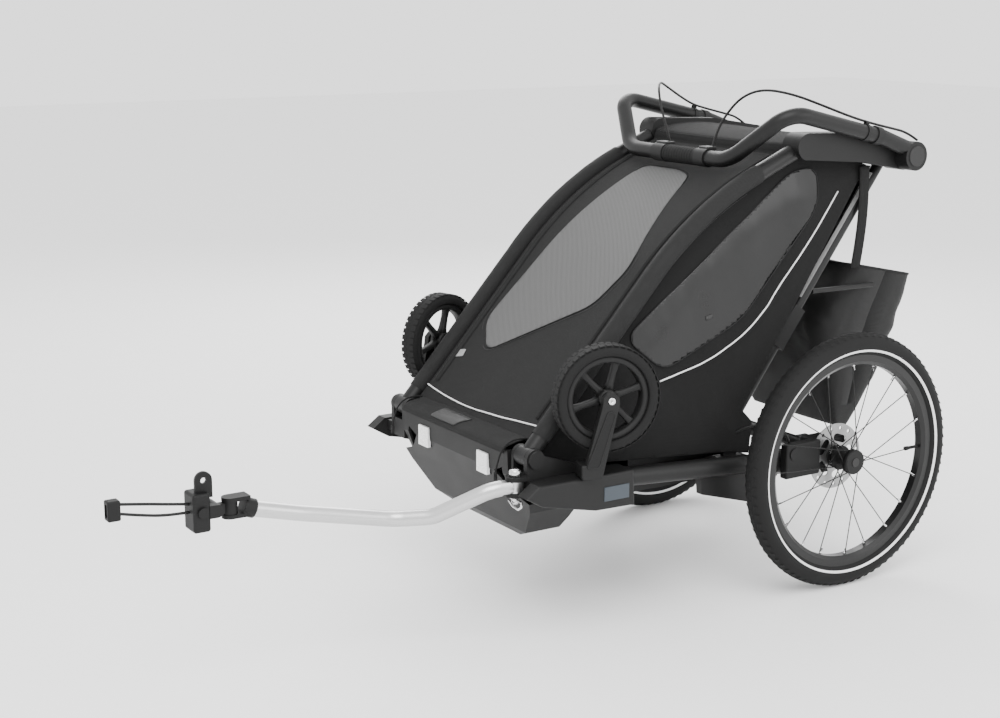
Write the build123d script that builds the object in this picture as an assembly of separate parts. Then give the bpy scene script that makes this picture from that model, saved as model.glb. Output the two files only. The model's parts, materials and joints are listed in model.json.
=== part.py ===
from build123d import *
import os
from math import cos, pi, radians, sin, tan

# Child bicycle trailer, in millimetres. X points to the trailer's left, Y to its rear and Z up.
# Every place below is measured from the point on the ground under the wheel axle. The last lines
# move the whole trailer along Y, so that its origin is at the middle of its footprint.

# ---- big wheels
WHEEL_R = 250.0            # outside radius of the tyre
TYRE_W = 45.0              # width of the tyre's round section
TYRE_WALL = 3.5
WHEEL_X = 303.4            # wheel's middle plane
RIM_W = 27.0
RIM_DEPTH = 24.0           # from the rim's inner face out to its edge
SPOKES = 20
SPOKE_R = 1.0
FLANGE_R = 24.0
FLANGE_T = 2.0
HUB_R = 13.0
AXLE_R = 7.5
AXLE_HEAD_R = 24.0
AXLE_HEAD_T = 7.0
AXLE_BUTTON_R = 8.8
BUTTON_STROKE = 3.0
ROTOR_R = 65.0
ROTOR_T = 2.0
ROTOR_X = 266.0            # rotor's inner face

# ---- clearances
RUN = 0.05                 # shaft in a bore
GAP = 0.3                  # pieces that lie beside each other
SOFT_GAP = 0.4             # cloth beside its frame

# ---- lower frame
RAIL_X = 235.0
RAIL_R = 18.0
RAIL_SLOPE = -0.0729       # rise along Y
RAIL_Z_AT_AXLE = 241.0
RAIL_FRONT_Y = -548.0
RAIL_BACK_Y = -100.0
SLEEVE_R = 23.0
SLEEVE_FRONT_Y = -165.0
CARRIER_FRONT_Y = -45.0
CARRIER_BACK_Y = 38.0
CARRIER_H = 35.0           # half its height about the axle
CARRIER_INNER_X = 212.0
CARRIER_OUTER_X = 258.0
BEAM_R = 15.0

# ---- folding frame
FOLD_Y = -685.0            # front pivot
FOLD_Z = 340.0
FOLD_PIN_R = 8.0
KNUCKLE_R = 18.0
ROLL_X = 217.0
ROLL_R = 16.0
ROLL_BEND = (-318.0, 745.0)   # where the tube's two straight runs would meet, in Y and Z
ROLL_BEND_R = 680.0
ROLL_TOP = (-64.0, 853.9)
BRACKET_INNER_X = 199.4
BRACKET_OUTER_X = 240.0
BRACKET_FRONT = (-80.0, 852.0)
BRACKET_FRONT_R = 25.0
TOP_PIVOT_Y = 175.0        # handlebar hub and strut top
TOP_PIVOT_Z = 824.0
TOP_PIVOT_R = 29.0
STRUT_X = 186.0
STRUT_R = 11.0
STRUT_FOOT_Y = -215.0
STRUT_FOOT_Z = 305.0
STRUT_PIN_R = 7.0

# ---- handlebar
BAR_R = 15.0
BAR_CORE_R = 12.5
BAR_X = 258.0
BAR_FRONT_Y = -195.0
BAR_FRONT_Z = 825.0
HUB_PIN_R = 10.0
HUB_OUT_R = 28.0
HUB_OUTER_X = 272.0
HUB_BUTTON_R = 20.0
GRIP_R = 16.5
GRIP_SPAN = (-31.0, 67.0)
CABLE_R = 2.4

# ---- stowed stroller wheels
CASTER_R = 96.0
CASTER_W = 34.0
CASTER_TURN = 16.0         # degrees that each is turned about its upright stem
CASTER_Z = 445.0
CASTER_TRAIL = 35.0
STEM_X = 275.0
STEM_Y = -600.0
STEM_R = 9.0
SOCKET_TOP = 307.0
SOCKET_INNER_X = 262.3
SOCKET_OUTER_X = 292.0

# ---- soft parts
CLOTH_T = 3.0
SEAT_HALF_W = 165.0
BAG_ARM_R = 5.0
BAG_HALF_W = STRUT_X - BAG_ARM_R - GAP

# ---- hitch
HITCH_X = 235.0
HITCH_PIN_Y = -722.0
HITCH_Z = 297.0
ARM_R = 14.0
ARM_PIN_R = 6.0
BIKE_AXLE_R = 5.1
BIKE_AXLE = (98.0, -1240.0, 355.0)

kept = {}


def keep(name, *shapes):
    """Files a node's solids under its name."""
    kept[name] = [solid for shape in shapes for solid in shape.solids()]


def rail_z(y):
    return RAIL_Z_AT_AXLE + RAIL_SLOPE * y


def flip(shape):
    return mirror(shape, about=Plane.YZ)


def pair(shape):
    """The left piece and its mirror image."""
    return [shape, flip(shape)]


def rod(start, end, radius):
    """A round bar between two points."""
    axis = Vector(*end) - Vector(*start)
    return extrude(Plane(origin=start, z_dir=axis) * Circle(radius), axis.length)


def disc(y, z, radius, x0, x1):
    """A round bar along X."""
    return rod((x0, y, z), (x1, y, z), radius)


def block(x0, x1, y0, y1, z0, z1, edge=0.0):
    """A box between two corners, its edges rounded where a radius is given."""
    solid = Pos((x0 + x1) / 2, (y0 + y1) / 2, (z0 + z1) / 2) * Box(x1 - x0, y1 - y0, z1 - z0)
    if edge:
        solid = fillet(solid.edges(), edge)
    return solid


def slab(outline, x0, x1):
    """A side view outline, in Y and Z, given thickness from x0 to x1."""
    face = make_face(Plane.YZ.offset(x0) * Polyline(*outline, close=True))
    return extrude(face, x1 - x0, dir=(1, 0, 0))


def front_slab(outline, y0, y1):
    """A front view outline, in X and Z, given thickness from y0 back to y1."""
    face = make_face(Plane.XZ.offset(-y0) * Polyline(*outline, close=True))
    return extrude(face, y1 - y0, dir=(0, 1, 0))


def turned(outline):
    """A ring from an outline of (x, radius) points, about the X axis."""
    return revolve(make_face(Polyline(*outline, close=True)), Axis.X)


def tube(points, bends, radius):
    """A round tube along straight runs joined by tangent arcs."""
    path = FilletPolyline(*points, radius=bends)
    return sweep(Plane(origin=path @ 0, z_dir=path % 0) * Circle(radius), path=path)


def soft_radii(points):
    """The widest arc that each corner of a cord's route has room for."""
    radii = []
    for before, here, after in zip(points, points[1:], points[2:]):
        run_in = Vector(*here) - Vector(*before)
        run_out = Vector(*after) - Vector(*here)
        half_turn = radians(run_in.get_angle(run_out)) / 2
        radii.append(0.45 * min(run_in.length, run_out.length) / tan(half_turn))
    return radii


def cord(name, points, radius):
    """A cord's solid along its route. Prints its tightest arc and how true its volume is."""
    radii = soft_radii(points)
    path = FilletPolyline(*points, radius=radii)
    solid = sweep(Plane(origin=path @ 0, z_dir=path % 0) * Circle(radius), path=path)
    true_volume = pi * radius**2 * path.length
    print(name, "length", round(path.length, 1), "tightest arc", round(min(radii), 1),
          "volume ratio", round(solid.volume / true_volume, 4))
    return solid


# ---------------------------------------------------------------- big wheels

TYRE_CENTRE_R = WHEEL_R - TYRE_W / 2
RIM_EDGE_R = TYRE_CENTRE_R - 13.5
RIM_INNER_R = RIM_EDGE_R - RIM_DEPTH
RIM_WALL = 1.8


def tyre():
    shell = Pos(0, TYRE_CENTRE_R) * (Circle(TYRE_W / 2) - Circle(TYRE_W / 2 - TYRE_WALL))
    mouth = Pos(0, TYRE_CENTRE_R - TYRE_W / 4) * Rectangle(RIM_W + 2 * GAP, TYRE_W / 2)
    return revolve(shell - mouth, Axis.X)


def rim():
    half = RIM_W / 2
    well = half - RIM_WALL
    return turned([
        (-half + 5.5, RIM_INNER_R), (half - 5.5, RIM_INNER_R), (half, RIM_INNER_R + 7),
        (half, RIM_EDGE_R), (well, RIM_EDGE_R), (well, RIM_EDGE_R - 9),
        (-well, RIM_EDGE_R - 9), (-well, RIM_EDGE_R), (-half, RIM_EDGE_R),
        (-half, RIM_INNER_R + 7),
    ])


FLANGE_IN = -19.5          # inner flange's inner face, from the wheel's middle plane
FLANGE_OUT = 8.5           # outer flange's inner face
HUB_START = CARRIER_OUTER_X + 2 - WHEEL_X
HUB_END = 14.3
ROTOR_SEAT = ROTOR_X + ROTOR_T - WHEEL_X


def hub():
    bore = AXLE_R + RUN
    return turned([
        (HUB_START, bore), (HUB_START, HUB_R), (ROTOR_SEAT, HUB_R), (ROTOR_SEAT, 22),
        (ROTOR_SEAT + 3.4, 22), (ROTOR_SEAT + 3.4, HUB_R), (FLANGE_IN, HUB_R),
        (FLANGE_IN, FLANGE_R), (FLANGE_IN + FLANGE_T, FLANGE_R), (FLANGE_IN + FLANGE_T, HUB_R),
        (FLANGE_OUT, HUB_R), (FLANGE_OUT, FLANGE_R), (FLANGE_OUT + FLANGE_T, FLANGE_R),
        (FLANGE_OUT + FLANGE_T, HUB_R), (HUB_END, HUB_R), (HUB_END, bore),
    ])


def spokes():
    """Ten crossed pairs: leading spokes leave the outside of their flange, trailing ones the inside."""
    made = []
    per_side = SPOKES // 2
    start_r = FLANGE_R - 4
    step = FLANGE_T / 2 + SPOKE_R + RUN
    end_r = RIM_INNER_R - 0.2
    for side, flange in ((-1, FLANGE_IN), (1, FLANGE_OUT)):
        for n in range(per_side):
            lead = 1 if n % 2 else -1
            rim_angle = 360 / SPOKES * (2 * n + (side > 0))
            hub_angle = rim_angle + lead * 62
            lean = 0.8 if lead > 0 else 0.0
            offset = flange + FLANGE_T / 2 + lead * side * (step + lean)
            hub_point = (offset, start_r * cos(radians(hub_angle)), start_r * sin(radians(hub_angle)))
            rim_point = (side * 3 + lead * side * step,
                         end_r * cos(radians(rim_angle)), end_r * sin(radians(rim_angle)))
            made.append(rod(hub_point, rim_point, SPOKE_R))
    return made


def rotor():
    ring = extrude(Plane.YZ * (Circle(ROTOR_R) - Circle(HUB_R + RUN)), ROTOR_T)
    for n in range(5):
        window = Plane.YZ * (Rot(0, 0, 72 * n) * Pos(36, 0) * SlotOverall(34, 15, rotation=90))
        ring -= extrude(window, ROTOR_T)
    for n in range(15):
        hole = Plane.YZ * (Rot(0, 0, 24 * n + 6) * Pos(56, 0) * Circle(3.5))
        ring -= extrude(hole, ROTOR_T)
    return Pos(ROTOR_X - WHEEL_X, 0, 0) * ring


def axle_button():
    head_end = WHEEL_X + HUB_END + GAP + AXLE_HEAD_T
    seat = head_end - 1.2
    plunger = disc(0, WHEEL_R, AXLE_R - 2.6, seat - 18, seat)
    return plunger + disc(0, WHEEL_R, AXLE_BUTTON_R, seat, seat + 2.2)


def stub_axle():
    """The wheel's fixed axle: it sits in the carrier, and its head keeps the hub on."""
    head_start = WHEEL_X + HUB_END + GAP
    head_end = head_start + AXLE_HEAD_T
    seat = head_end - 1.2
    axle = disc(0, WHEEL_R, AXLE_R, CARRIER_INNER_X + 3, head_start)
    head = disc(0, WHEEL_R, AXLE_HEAD_R, head_start, head_end)
    head = chamfer(head.edges().group_by(Axis.X)[-1], 2.0)
    pocket = disc(0, WHEEL_R, AXLE_BUTTON_R + RUN * 2, seat - BUTTON_STROKE - 0.5, head_end)
    bore = disc(0, WHEEL_R, AXLE_R - 2.6 + RUN, seat - 22 - BUTTON_STROKE, head_end)
    return axle + head - pocket - bore


def big_wheels():
    for side, place in (("left", lambda s: s), ("right", flip)):
        at = Pos(WHEEL_X, 0, WHEEL_R)
        keep(f"tyre_{side}", place(at * tyre()))
        keep(f"rim_{side}", place(at * rim()))
        keep(f"wheel_hub_{side}", place(at * hub()))
        keep(f"spokes_{side}", *[place(at * spoke) for spoke in spokes()])
        keep(f"brake_rotor_{side}", place(at * rotor()))
        keep(f"axle_button_{side}", place(axle_button()))


# ---------------------------------------------------------------- lower frame

def side_rail():
    return rod((RAIL_X, RAIL_FRONT_Y, rail_z(RAIL_FRONT_Y)),
               (RAIL_X, RAIL_BACK_Y, rail_z(RAIL_BACK_Y)), RAIL_R)


def rail_bore(y0, y1, radius):
    return rod((RAIL_X, y0, rail_z(y0)), (RAIL_X, y1, rail_z(y1)), radius)


def axle_carrier():
    """A cast arm: a sleeve over the rail's rear end, and a block that holds the stub axle."""
    body = block(CARRIER_INNER_X, CARRIER_OUTER_X, CARRIER_FRONT_Y, CARRIER_BACK_Y,
                 WHEEL_R - CARRIER_H, WHEEL_R + CARRIER_H, 6)
    body += rail_bore(SLEEVE_FRONT_Y, CARRIER_FRONT_Y + 10, SLEEVE_R)
    body -= rail_bore(SLEEVE_FRONT_Y - 5, RAIL_BACK_Y, RAIL_R + RUN)
    return body - disc(0, WHEEL_R, AXLE_R, CARRIER_INNER_X + 3, CARRIER_OUTER_X)


def front_casting():
    """The front corner: two lugs for the fold pin over a bridge, and a socket for the rail."""
    outer_x = ROLL_X + ROLL_R + 0.6
    inner_x = ROLL_X - ROLL_R - 0.6
    bridge_top = FOLD_Z - KNUCKLE_R - 6
    plate = slab([(FOLD_Y - 18, FOLD_Z - 40), (FOLD_Y - 18, FOLD_Z + 4), (FOLD_Y + 18, FOLD_Z + 4),
                  (-560, 306), (-500, 302), (-500, 254), (-560, 258), (-640, 262), (FOLD_Y, 276)],
                 outer_x, outer_x + 10)
    plate += slab([(FOLD_Y - 18, 284), (FOLD_Y - 18, 304), (-505, 304), (-505, 256), (-640, 262)],
                  outer_x, SOCKET_INNER_X - GAP)
    lugs = disc(FOLD_Y, FOLD_Z, KNUCKLE_R, outer_x, outer_x + 10)
    lugs += disc(FOLD_Y, FOLD_Z, KNUCKLE_R, inner_x - 8, inner_x)
    lugs += block(inner_x - 8, inner_x, FOLD_Y - KNUCKLE_R, FOLD_Y + KNUCKLE_R, bridge_top - 20, FOLD_Z)
    bridge = slab([(FOLD_Y - 18, bridge_top), (-560, 300), (-560, 262), (-640, 262),
                   (FOLD_Y - 18, 280)], inner_x - 8, outer_x)
    socket = rail_bore(-575, -498, RAIL_R + 6)
    body = plate + lugs + bridge + socket
    body -= rail_bore(RAIL_FRONT_Y, -490, RAIL_R + RUN)
    return body - disc(FOLD_Y, FOLD_Z, FOLD_PIN_R, inner_x - 8, outer_x + 10)


def fold_pin():
    outer_x = ROLL_X + ROLL_R + 10.6
    pin = disc(FOLD_Y, FOLD_Z, FOLD_PIN_R, ROLL_X - ROLL_R - 8.6, outer_x)
    return pin + disc(FOLD_Y, FOLD_Z, KNUCKLE_R - 2, outer_x, outer_x + 6)


def strut_pivot():
    """A saddle on the rail that carries the strut's foot pin."""
    lug_x0 = STRUT_X + STRUT_R + 1.0
    lug_x1 = lug_x0 + 9.0
    lug = disc(STRUT_FOOT_Y, STRUT_FOOT_Z, 16, lug_x0, lug_x1)
    lug += block(lug_x0, lug_x1, STRUT_FOOT_Y - 16, STRUT_FOOT_Y + 16, 251, STRUT_FOOT_Z)
    saddle = block(lug_x0, RAIL_X, STRUT_FOOT_Y - 30, STRUT_FOOT_Y + 30, 251, 269)
    saddle -= rail_bore(STRUT_FOOT_Y - 60, STRUT_FOOT_Y + 60, RAIL_R + RUN)
    pin = disc(STRUT_FOOT_Y, STRUT_FOOT_Z, STRUT_PIN_R, STRUT_X - STRUT_R - 1, lug_x0)
    return (lug + saddle + pin).solids().sort_by(SortBy.VOLUME)[-1]


def rail_bracket():
    y0, y1 = -310, -168
    wedge = slab([(y0, rail_z(y0)), (y0 + 6, 212), (y1 - 4, 174), (y1, rail_z(y1))],
                 RAIL_X - 16, RAIL_X)
    return wedge - rail_bore(y0 - 20, y1 + 20, RAIL_R + RUN)


CROSS_Y = -200.0
CROSS_R = 10.0
TRAY_Z = 222.0             # the tray's underside
CROSS_Z = TRAY_Z - CROSS_R - GAP
FRONT_TUBE = (FOLD_Y + 18, 290.0)
FRONT_TUBE_R = 12.0


def cross_tubes():
    front = disc(*FRONT_TUBE, FRONT_TUBE_R, -(ROLL_X - ROLL_R - 9), ROLL_X - ROLL_R - 9)
    middle = disc(CROSS_Y, CROSS_Z, CROSS_R, -(RAIL_X - 16 - RUN), RAIL_X - 16 - RUN)
    beam_end = CARRIER_INNER_X - RUN
    return [front, middle, disc(0, WHEEL_R, BEAM_R, -beam_end, beam_end)]


def socket_housing():
    """The moulded side housing that a stroller wheel's stem plugs into."""
    body = slab([(-734, 288), (-708, SOCKET_TOP), (-507, SOCKET_TOP), (-503, 241), (-587, 243),
                 (-700, 268)], SOCKET_INNER_X, SOCKET_OUTER_X)
    body = fillet(body.edges().group_by(Axis.X)[-1], 5)
    body -= rod((STEM_X, STEM_Y, 252), (STEM_X, STEM_Y, SOCKET_TOP), STEM_R + RUN)
    return body - socket_pocket(RUN * 4)


def socket_pocket(grow):
    return block(SOCKET_OUTER_X - 6, SOCKET_OUTER_X + 2, -572 - grow, -518 + grow, 258 - grow, 284 + grow)


def socket_button():
    pad = block(SOCKET_OUTER_X - 2, SOCKET_OUTER_X + 1.4, -572, -518, 258, 284)
    return fillet(pad.edges().group_by(Axis.X)[-1], 1.0)


def brake_caliper():
    """Two halves that bridge the rotor's edge, in front of the axle."""
    body = block(CARRIER_OUTER_X + 0.5, 278, -134, -47, 224, 292, 4)
    body -= disc(0, WHEEL_R, ROTOR_R + 3, ROTOR_X - 1.2, ROTOR_X + ROTOR_T + 1.2)
    body -= block(ROTOR_X - 1.2, ROTOR_X + ROTOR_T + 1.2, -62, -40, 220, 300)
    return body + disc(-114, 272, 12, 270, 280)


def brake_pedal():
    """A clamp ring on the axle beam, with an arm and a foot pad behind it."""
    ring = disc(0, WHEEL_R, BEAM_R + 6, 60, 104)
    arm = slab([(8, 262), (88, 232), (92, 222), (4, 238)], 72, 92)
    pad = block(52, 112, 84, 122, 218, 230, 4)
    return ring + arm + pad - disc(0, WHEEL_R, BEAM_R + RUN, 60, 104)


def floor_pan():
    """An open tray between the rails."""
    half = 178
    wall = 4
    front = FRONT_TUBE[0] + FRONT_TUBE_R + GAP
    outer = slab([(front, TRAY_Z + 4), (front, 318), (front + 12, 318), (-600, 266), (-165, 262),
                  (-165, TRAY_Z), (-600, TRAY_Z)], -half, half)
    inner = slab([(front + wall, TRAY_Z + 8), (front + wall, 330), (-169, 330),
                  (-169, TRAY_Z + wall), (-600, TRAY_Z + wall)], -half + wall, half - wall)
    return outer - inner


SEAT_Z = 289.0


def seat_base():
    """A bench that stands on the tray's floor, open in front."""
    floor = TRAY_Z + 4 + RUN
    outer = block(-170, 170, -430, -228, floor, SEAT_Z)
    return outer - block(-166, 166, -431, -232, floor, SEAT_Z - 4)


def seat_cushion():
    return block(-SEAT_HALF_W, SEAT_HALF_W, -436, -236, SEAT_Z + GAP, SEAT_Z + 37, 12)


def bumper():
    """A moulded nose, open behind and above, with a window at each corner."""
    front_view = [(-188, 347), (-188, 262), (-222, 252), (-212, 232), (-160, 176), (-100, 152),
                  (100, 152), (160, 176), (212, 232), (222, 252), (188, 262), (188, 347)]
    side_view = [(-708, 347), (-698, 347), (-664, 316), (-572, 316), (-572, 203), (-579, 156),
                 (-622, 152), (-652, 178), (-684, 253), (-706, 301)]
    body = front_slab(front_view, -720, -560) & slab(side_view, -240, 240)
    core_front = [(x * 0.975, 150 + (z - 150) * 1.06 + 3) for x, z in front_view]
    core_side = [(-702, 360), (-701, 303), (-679, 256), (-648, 184), (-620, 157), (-570, 161),
                 (-560, 203), (-560, 360)]
    body -= front_slab(core_front, -730, -550) & slab(core_side, -240, 240)
    body -= disc(*FRONT_TUBE, FRONT_TUBE_R + GAP, -200, 200)
    for side in (1, -1):
        window = [(side * 168, 312), (side * 178, 268), (side * 140, 300)]
        body -= front_slab(window, -740, -640)
        body -= block(*sorted((side * 88, side * 124)), -720, -690, 286, 326)
    return body


def bumper_reflector():
    return block(88.3, 123.7, -711, -703, 286.3, 325.7, 1.5)


# ---------------------------------------------------------------- folding upper frame

def roll_path():
    return [(FOLD_Y, FOLD_Z), ROLL_BEND, ROLL_TOP]


def roll_tube():
    points = [(ROLL_X, y, z) for y, z in roll_path()]
    knuckle = disc(FOLD_Y, FOLD_Z, KNUCKLE_R, ROLL_X - ROLL_R, ROLL_X + ROLL_R)
    body = tube(points, ROLL_BEND_R, ROLL_R) + knuckle
    return body - disc(FOLD_Y, FOLD_Z, FOLD_PIN_R + RUN, ROLL_X - 30, ROLL_X + 30)


def roll_bore():
    points = [(ROLL_X, y, z) for y, z in roll_path()]
    return tube(points, ROLL_BEND_R, ROLL_R + RUN)


def top_bracket():
    """The moulded side piece from the roll tube's top back to the handlebar's hub."""
    front_y, front_z = BRACKET_FRONT
    outline = [(front_y, front_z + 25), (60, 872), (TOP_PIVOT_Y + 6, TOP_PIVOT_Z + 28),
               (TOP_PIVOT_Y, TOP_PIVOT_Z - 28), (60, 816), (front_y, front_z - 25)]
    body = slab(outline, BRACKET_INNER_X, BRACKET_OUTER_X)
    body += disc(front_y, front_z, BRACKET_FRONT_R, BRACKET_INNER_X, BRACKET_OUTER_X + 4)
    body += disc(TOP_PIVOT_Y, TOP_PIVOT_Z, TOP_PIVOT_R, BRACKET_INNER_X, BRACKET_OUTER_X)
    body -= roll_bore()
    return body - disc(TOP_PIVOT_Y, TOP_PIVOT_Z, HUB_PIN_R, BRACKET_INNER_X + 5, BRACKET_OUTER_X)


def hub_pin():
    return disc(TOP_PIVOT_Y, TOP_PIVOT_Z, HUB_PIN_R, BRACKET_INNER_X + 5, BAR_X - 3)


def roof_bows():
    reach = BRACKET_INNER_X - GAP / 2
    front = disc(BRACKET_FRONT[0] + 4, BRACKET_FRONT[1] - 10, 10, -reach, reach)
    return [front, disc(120, 838, 8, -reach, reach)]


def cloth_strip(line, half_width, thickness, bend=None):
    """A strip of cloth under a side view line, across the trailer."""
    top = [(0, y, z) for y, z in line]
    if bend:
        path = FilletPolyline(*top, radius=bend)
    else:
        path = Polyline(*top)
    tangent = path % 0
    down = Vector(0, tangent.Z, -tangent.Y)
    centre = path @ 0 + down * (thickness / 2)
    section = Plane(origin=centre, x_dir=(1, 0, 0), z_dir=tangent) * Rectangle(2 * half_width, thickness)
    return sweep(section, path=path)


COVER_LIFT = -2.0          # the cover's outer face over the roll tube's centre line


def front_cover():
    """The stretched cover between the roll tubes, from the nose up to the roof bow."""
    rise = Vector(ROLL_BEND[0] - FOLD_Y, ROLL_BEND[1] - FOLD_Z).normalized()
    lift = Vector(-rise.Y, rise.X) * COVER_LIFT
    start = Vector(FOLD_Y, FOLD_Z) + rise * 26 + lift
    bend = (ROLL_BEND[0] + lift.X, ROLL_BEND[1] + lift.Y)
    end = (BRACKET_FRONT[0] - 18, ROLL_TOP[1] - 16)
    return cloth_strip([(start.X, start.Y), bend, end], BRACKET_INNER_X - SOFT_GAP, CLOTH_T, ROLL_BEND_R)


def roof_panel():
    line = [(-94, 859), (20, 869), (150, 849)]
    return cloth_strip(line, BRACKET_INNER_X - SOFT_GAP, CLOTH_T, 300)


def side_panel():
    """The cabin's side wall, inside the rail and under the roll tube."""
    x0 = ROLL_X - CLOTH_T - 5
    wall = slab([(-650, 312), (-650, 352), (FOLD_Y + 40, 386), (-440, 616), (-330, 722), (-200, 796),
                 (-96, 824), (60, 812), (98, 800), (-206, 333), (-240, rail_z(-240) + 22),
                 (-555, 305)], x0, x0 + CLOTH_T)
    wall -= tube([(ROLL_X, y, z) for y, z in roll_path()], ROLL_BEND_R, ROLL_R + SOFT_GAP)
    return wall.solids().sort_by(SortBy.VOLUME)[-1]


def zip_pull():
    points = [(185, -664.6, 361.7), (186, -690, 366), (187, -714, 356), (188, -727, 335), (187, -732, 309)]
    return cord("zip pull", points, 1.6)


# ---------------------------------------------------------------- struts, seat back and bag

STRUT_RUN = Vector(TOP_PIVOT_Y - STRUT_FOOT_Y, TOP_PIVOT_Z - STRUT_FOOT_Z)
STRUT_LEN = STRUT_RUN.length
ALONG = STRUT_RUN.normalized()


def on_strut(s, n=0.0):
    """The side view point s along the strut from its foot, and n in front of it."""
    return (STRUT_FOOT_Y + ALONG.X * s - ALONG.Y * n, STRUT_FOOT_Z + ALONG.Y * s + ALONG.X * n)


def strut_box(s0, s1, n0, n1, x0, x1):
    """A block lined up with the strut."""
    return slab([on_strut(s0, n0), on_strut(s1, n0), on_strut(s1, n1), on_strut(s0, n1)], x0, x1)


def strut():
    y1, z1 = on_strut(STRUT_LEN)
    body = rod((STRUT_X, STRUT_FOOT_Y, STRUT_FOOT_Z), (STRUT_X, y1, z1), STRUT_R)
    body += disc(STRUT_FOOT_Y, STRUT_FOOT_Z, 15, STRUT_X - STRUT_R + 1, STRUT_X + STRUT_R - 1)
    body += disc(y1, z1, 18, STRUT_X - STRUT_R + 1, STRUT_X + STRUT_R - 1)
    return body - disc(STRUT_FOOT_Y, STRUT_FOOT_Z, STRUT_PIN_R + RUN, STRUT_X - 40, STRUT_X + 40)


def crossbars():
    reach = STRUT_X - STRUT_R - RUN
    return [disc(*on_strut(s), 8, -reach, reach) for s in (60, 330, 590)]


def seat_back():
    return fillet(strut_box(45, 500, 8.3, 32, -SEAT_HALF_W, SEAT_HALF_W).edges(), 8)


def rear_panel():
    return strut_box(28, 625, -8.4 - CLOTH_T, -8.4, -172, 172)


BAG_SIDE = [(112, 606), (300, 566), (262, 439), (182, 254), (118, 262), (40, 470)]


def cargo_bag():
    """A cloth bag, open at the top, that narrows towards its bottom."""
    wall = CLOTH_T
    body = slab(BAG_SIDE, -BAG_HALF_W, BAG_HALF_W)
    inside = slab([(112 + wall, 620), (300 - wall, 580), (300 - wall - 1, 567), (262 - wall, 440),
                   (180, 258), (121, 266), (44, 471)], -BAG_HALF_W + wall, BAG_HALF_W - wall)
    return body - inside


def bag_arm():
    y0, z0 = on_strut(323)
    start = (STRUT_X, y0 + 18, z0)
    return rod(start, (STRUT_X, 160, z0 - 2), BAG_ARM_R)


def strut_buckle():
    body = strut_box(200, 290, -14, 15, STRUT_X - 13, STRUT_X + 13)
    y0, z0 = on_strut(180)
    y1, z1 = on_strut(310)
    body -= rod((STRUT_X, y0, z0), (STRUT_X, y1, z1), STRUT_R + RUN)
    return body.solids().sort_by(SortBy.VOLUME)[-1]


def bag_strap():
    """A flat strap from the bracket's underside down to the bag's front corner."""
    top = Vector(221, 88, 807.4)
    foot = Vector(BAG_HALF_W + 3.6, 112, 600)
    run = foot - top
    plane = Plane(origin=top, x_dir=(0, 1, 0), z_dir=run)
    return extrude(plane * Rectangle(24, 2.4), run.length)


# ---------------------------------------------------------------- handlebar

BAR_POINTS = [(BAR_X, TOP_PIVOT_Y - 12, TOP_PIVOT_Z + 14), (BAR_X, 92, 864), (BAR_X, -140, 919),
              (152, BAR_FRONT_Y, BAR_FRONT_Z), (96, BAR_FRONT_Y, BAR_FRONT_Z)]
BAR_BENDS = [90, 48, 70]


def handlebar():
    arm = tube(BAR_POINTS, BAR_BENDS, BAR_R)
    arm -= disc(TOP_PIVOT_Y, TOP_PIVOT_Z, HUB_OUT_R + RUN, BAR_X - 30, BAR_X + 30)
    core = disc(BAR_FRONT_Y, BAR_FRONT_Z, BAR_CORE_R, -110, 110)
    far = flip(arm) + disc(BAR_FRONT_Y, BAR_FRONT_Z, BAR_R, -97, GRIP_SPAN[0] - 36)
    return arm + core + far


def handlebar_hub():
    body = disc(TOP_PIVOT_Y, TOP_PIVOT_Z, HUB_OUT_R, BRACKET_OUTER_X + 0.6, HUB_OUTER_X)
    body -= disc(TOP_PIVOT_Y, TOP_PIVOT_Z, HUB_PIN_R + RUN, BRACKET_OUTER_X, BAR_X)
    return body - disc(TOP_PIVOT_Y, TOP_PIVOT_Z, HUB_BUTTON_R + RUN * 2, BAR_X + 3, HUB_OUTER_X)


def hub_button():
    body = disc(TOP_PIVOT_Y, TOP_PIVOT_Z, HUB_BUTTON_R, HUB_OUTER_X - 5.5, HUB_OUTER_X + 2)
    return chamfer(body.edges().group_by(Axis.X)[-1], 1.0)


def arm_ring(s, length, radius):
    """A ring around the handlebar's arm, s along its upper run from the rear bend."""
    rear = Vector(*BAR_POINTS[1])
    run = (Vector(*BAR_POINTS[2]) - rear).normalized()
    start = rear + run * s
    plane = Plane(origin=start, z_dir=run)
    return extrude(plane * (Circle(radius) - Circle(BAR_R + RUN)), length)


def cable_clip():
    """A ring on the arm with an ear on top for the brake cable."""
    rear = Vector(*BAR_POINTS[1])
    run = (Vector(*BAR_POINTS[2]) - rear).normalized()
    plane = Plane(origin=rear + run * 42, x_dir=(1, 0, 0), z_dir=run)
    lift = BAR_R + CABLE_R + 0.7
    ear_way = 1 if plane.y_dir.Z > 0 else -1
    face = Circle(BAR_R + 1.6) + Pos(0, ear_way * lift) * Circle(CABLE_R + 1.6)
    face -= Circle(BAR_R + RUN)
    face -= Pos(0, ear_way * lift) * Circle(CABLE_R + RUN * 4)
    return extrude(plane * face, 8)


def twist_grip():
    body = disc(BAR_FRONT_Y, BAR_FRONT_Z, GRIP_R, *GRIP_SPAN)
    return body - disc(BAR_FRONT_Y, BAR_FRONT_Z, BAR_CORE_R + RUN, -80, 120)


def cable_stops():
    """The fixed blocks at both ends of the grip, where the brake cables leave."""
    made = []
    for x0, x1 in ((GRIP_SPAN[1] + GAP, 95.7), (GRIP_SPAN[0] - 35, GRIP_SPAN[0] - GAP)):
        body = disc(BAR_FRONT_Y, BAR_FRONT_Z, GRIP_R + 1.5, x0, x1)
        body += block(x0, x1, BAR_FRONT_Y - 4, BAR_FRONT_Y + 19, BAR_FRONT_Z, BAR_FRONT_Z + 21, 3)
        made.append(body - disc(BAR_FRONT_Y, BAR_FRONT_Z, BAR_CORE_R + RUN, x0 - 5, x1 + 5))
    return made


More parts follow.
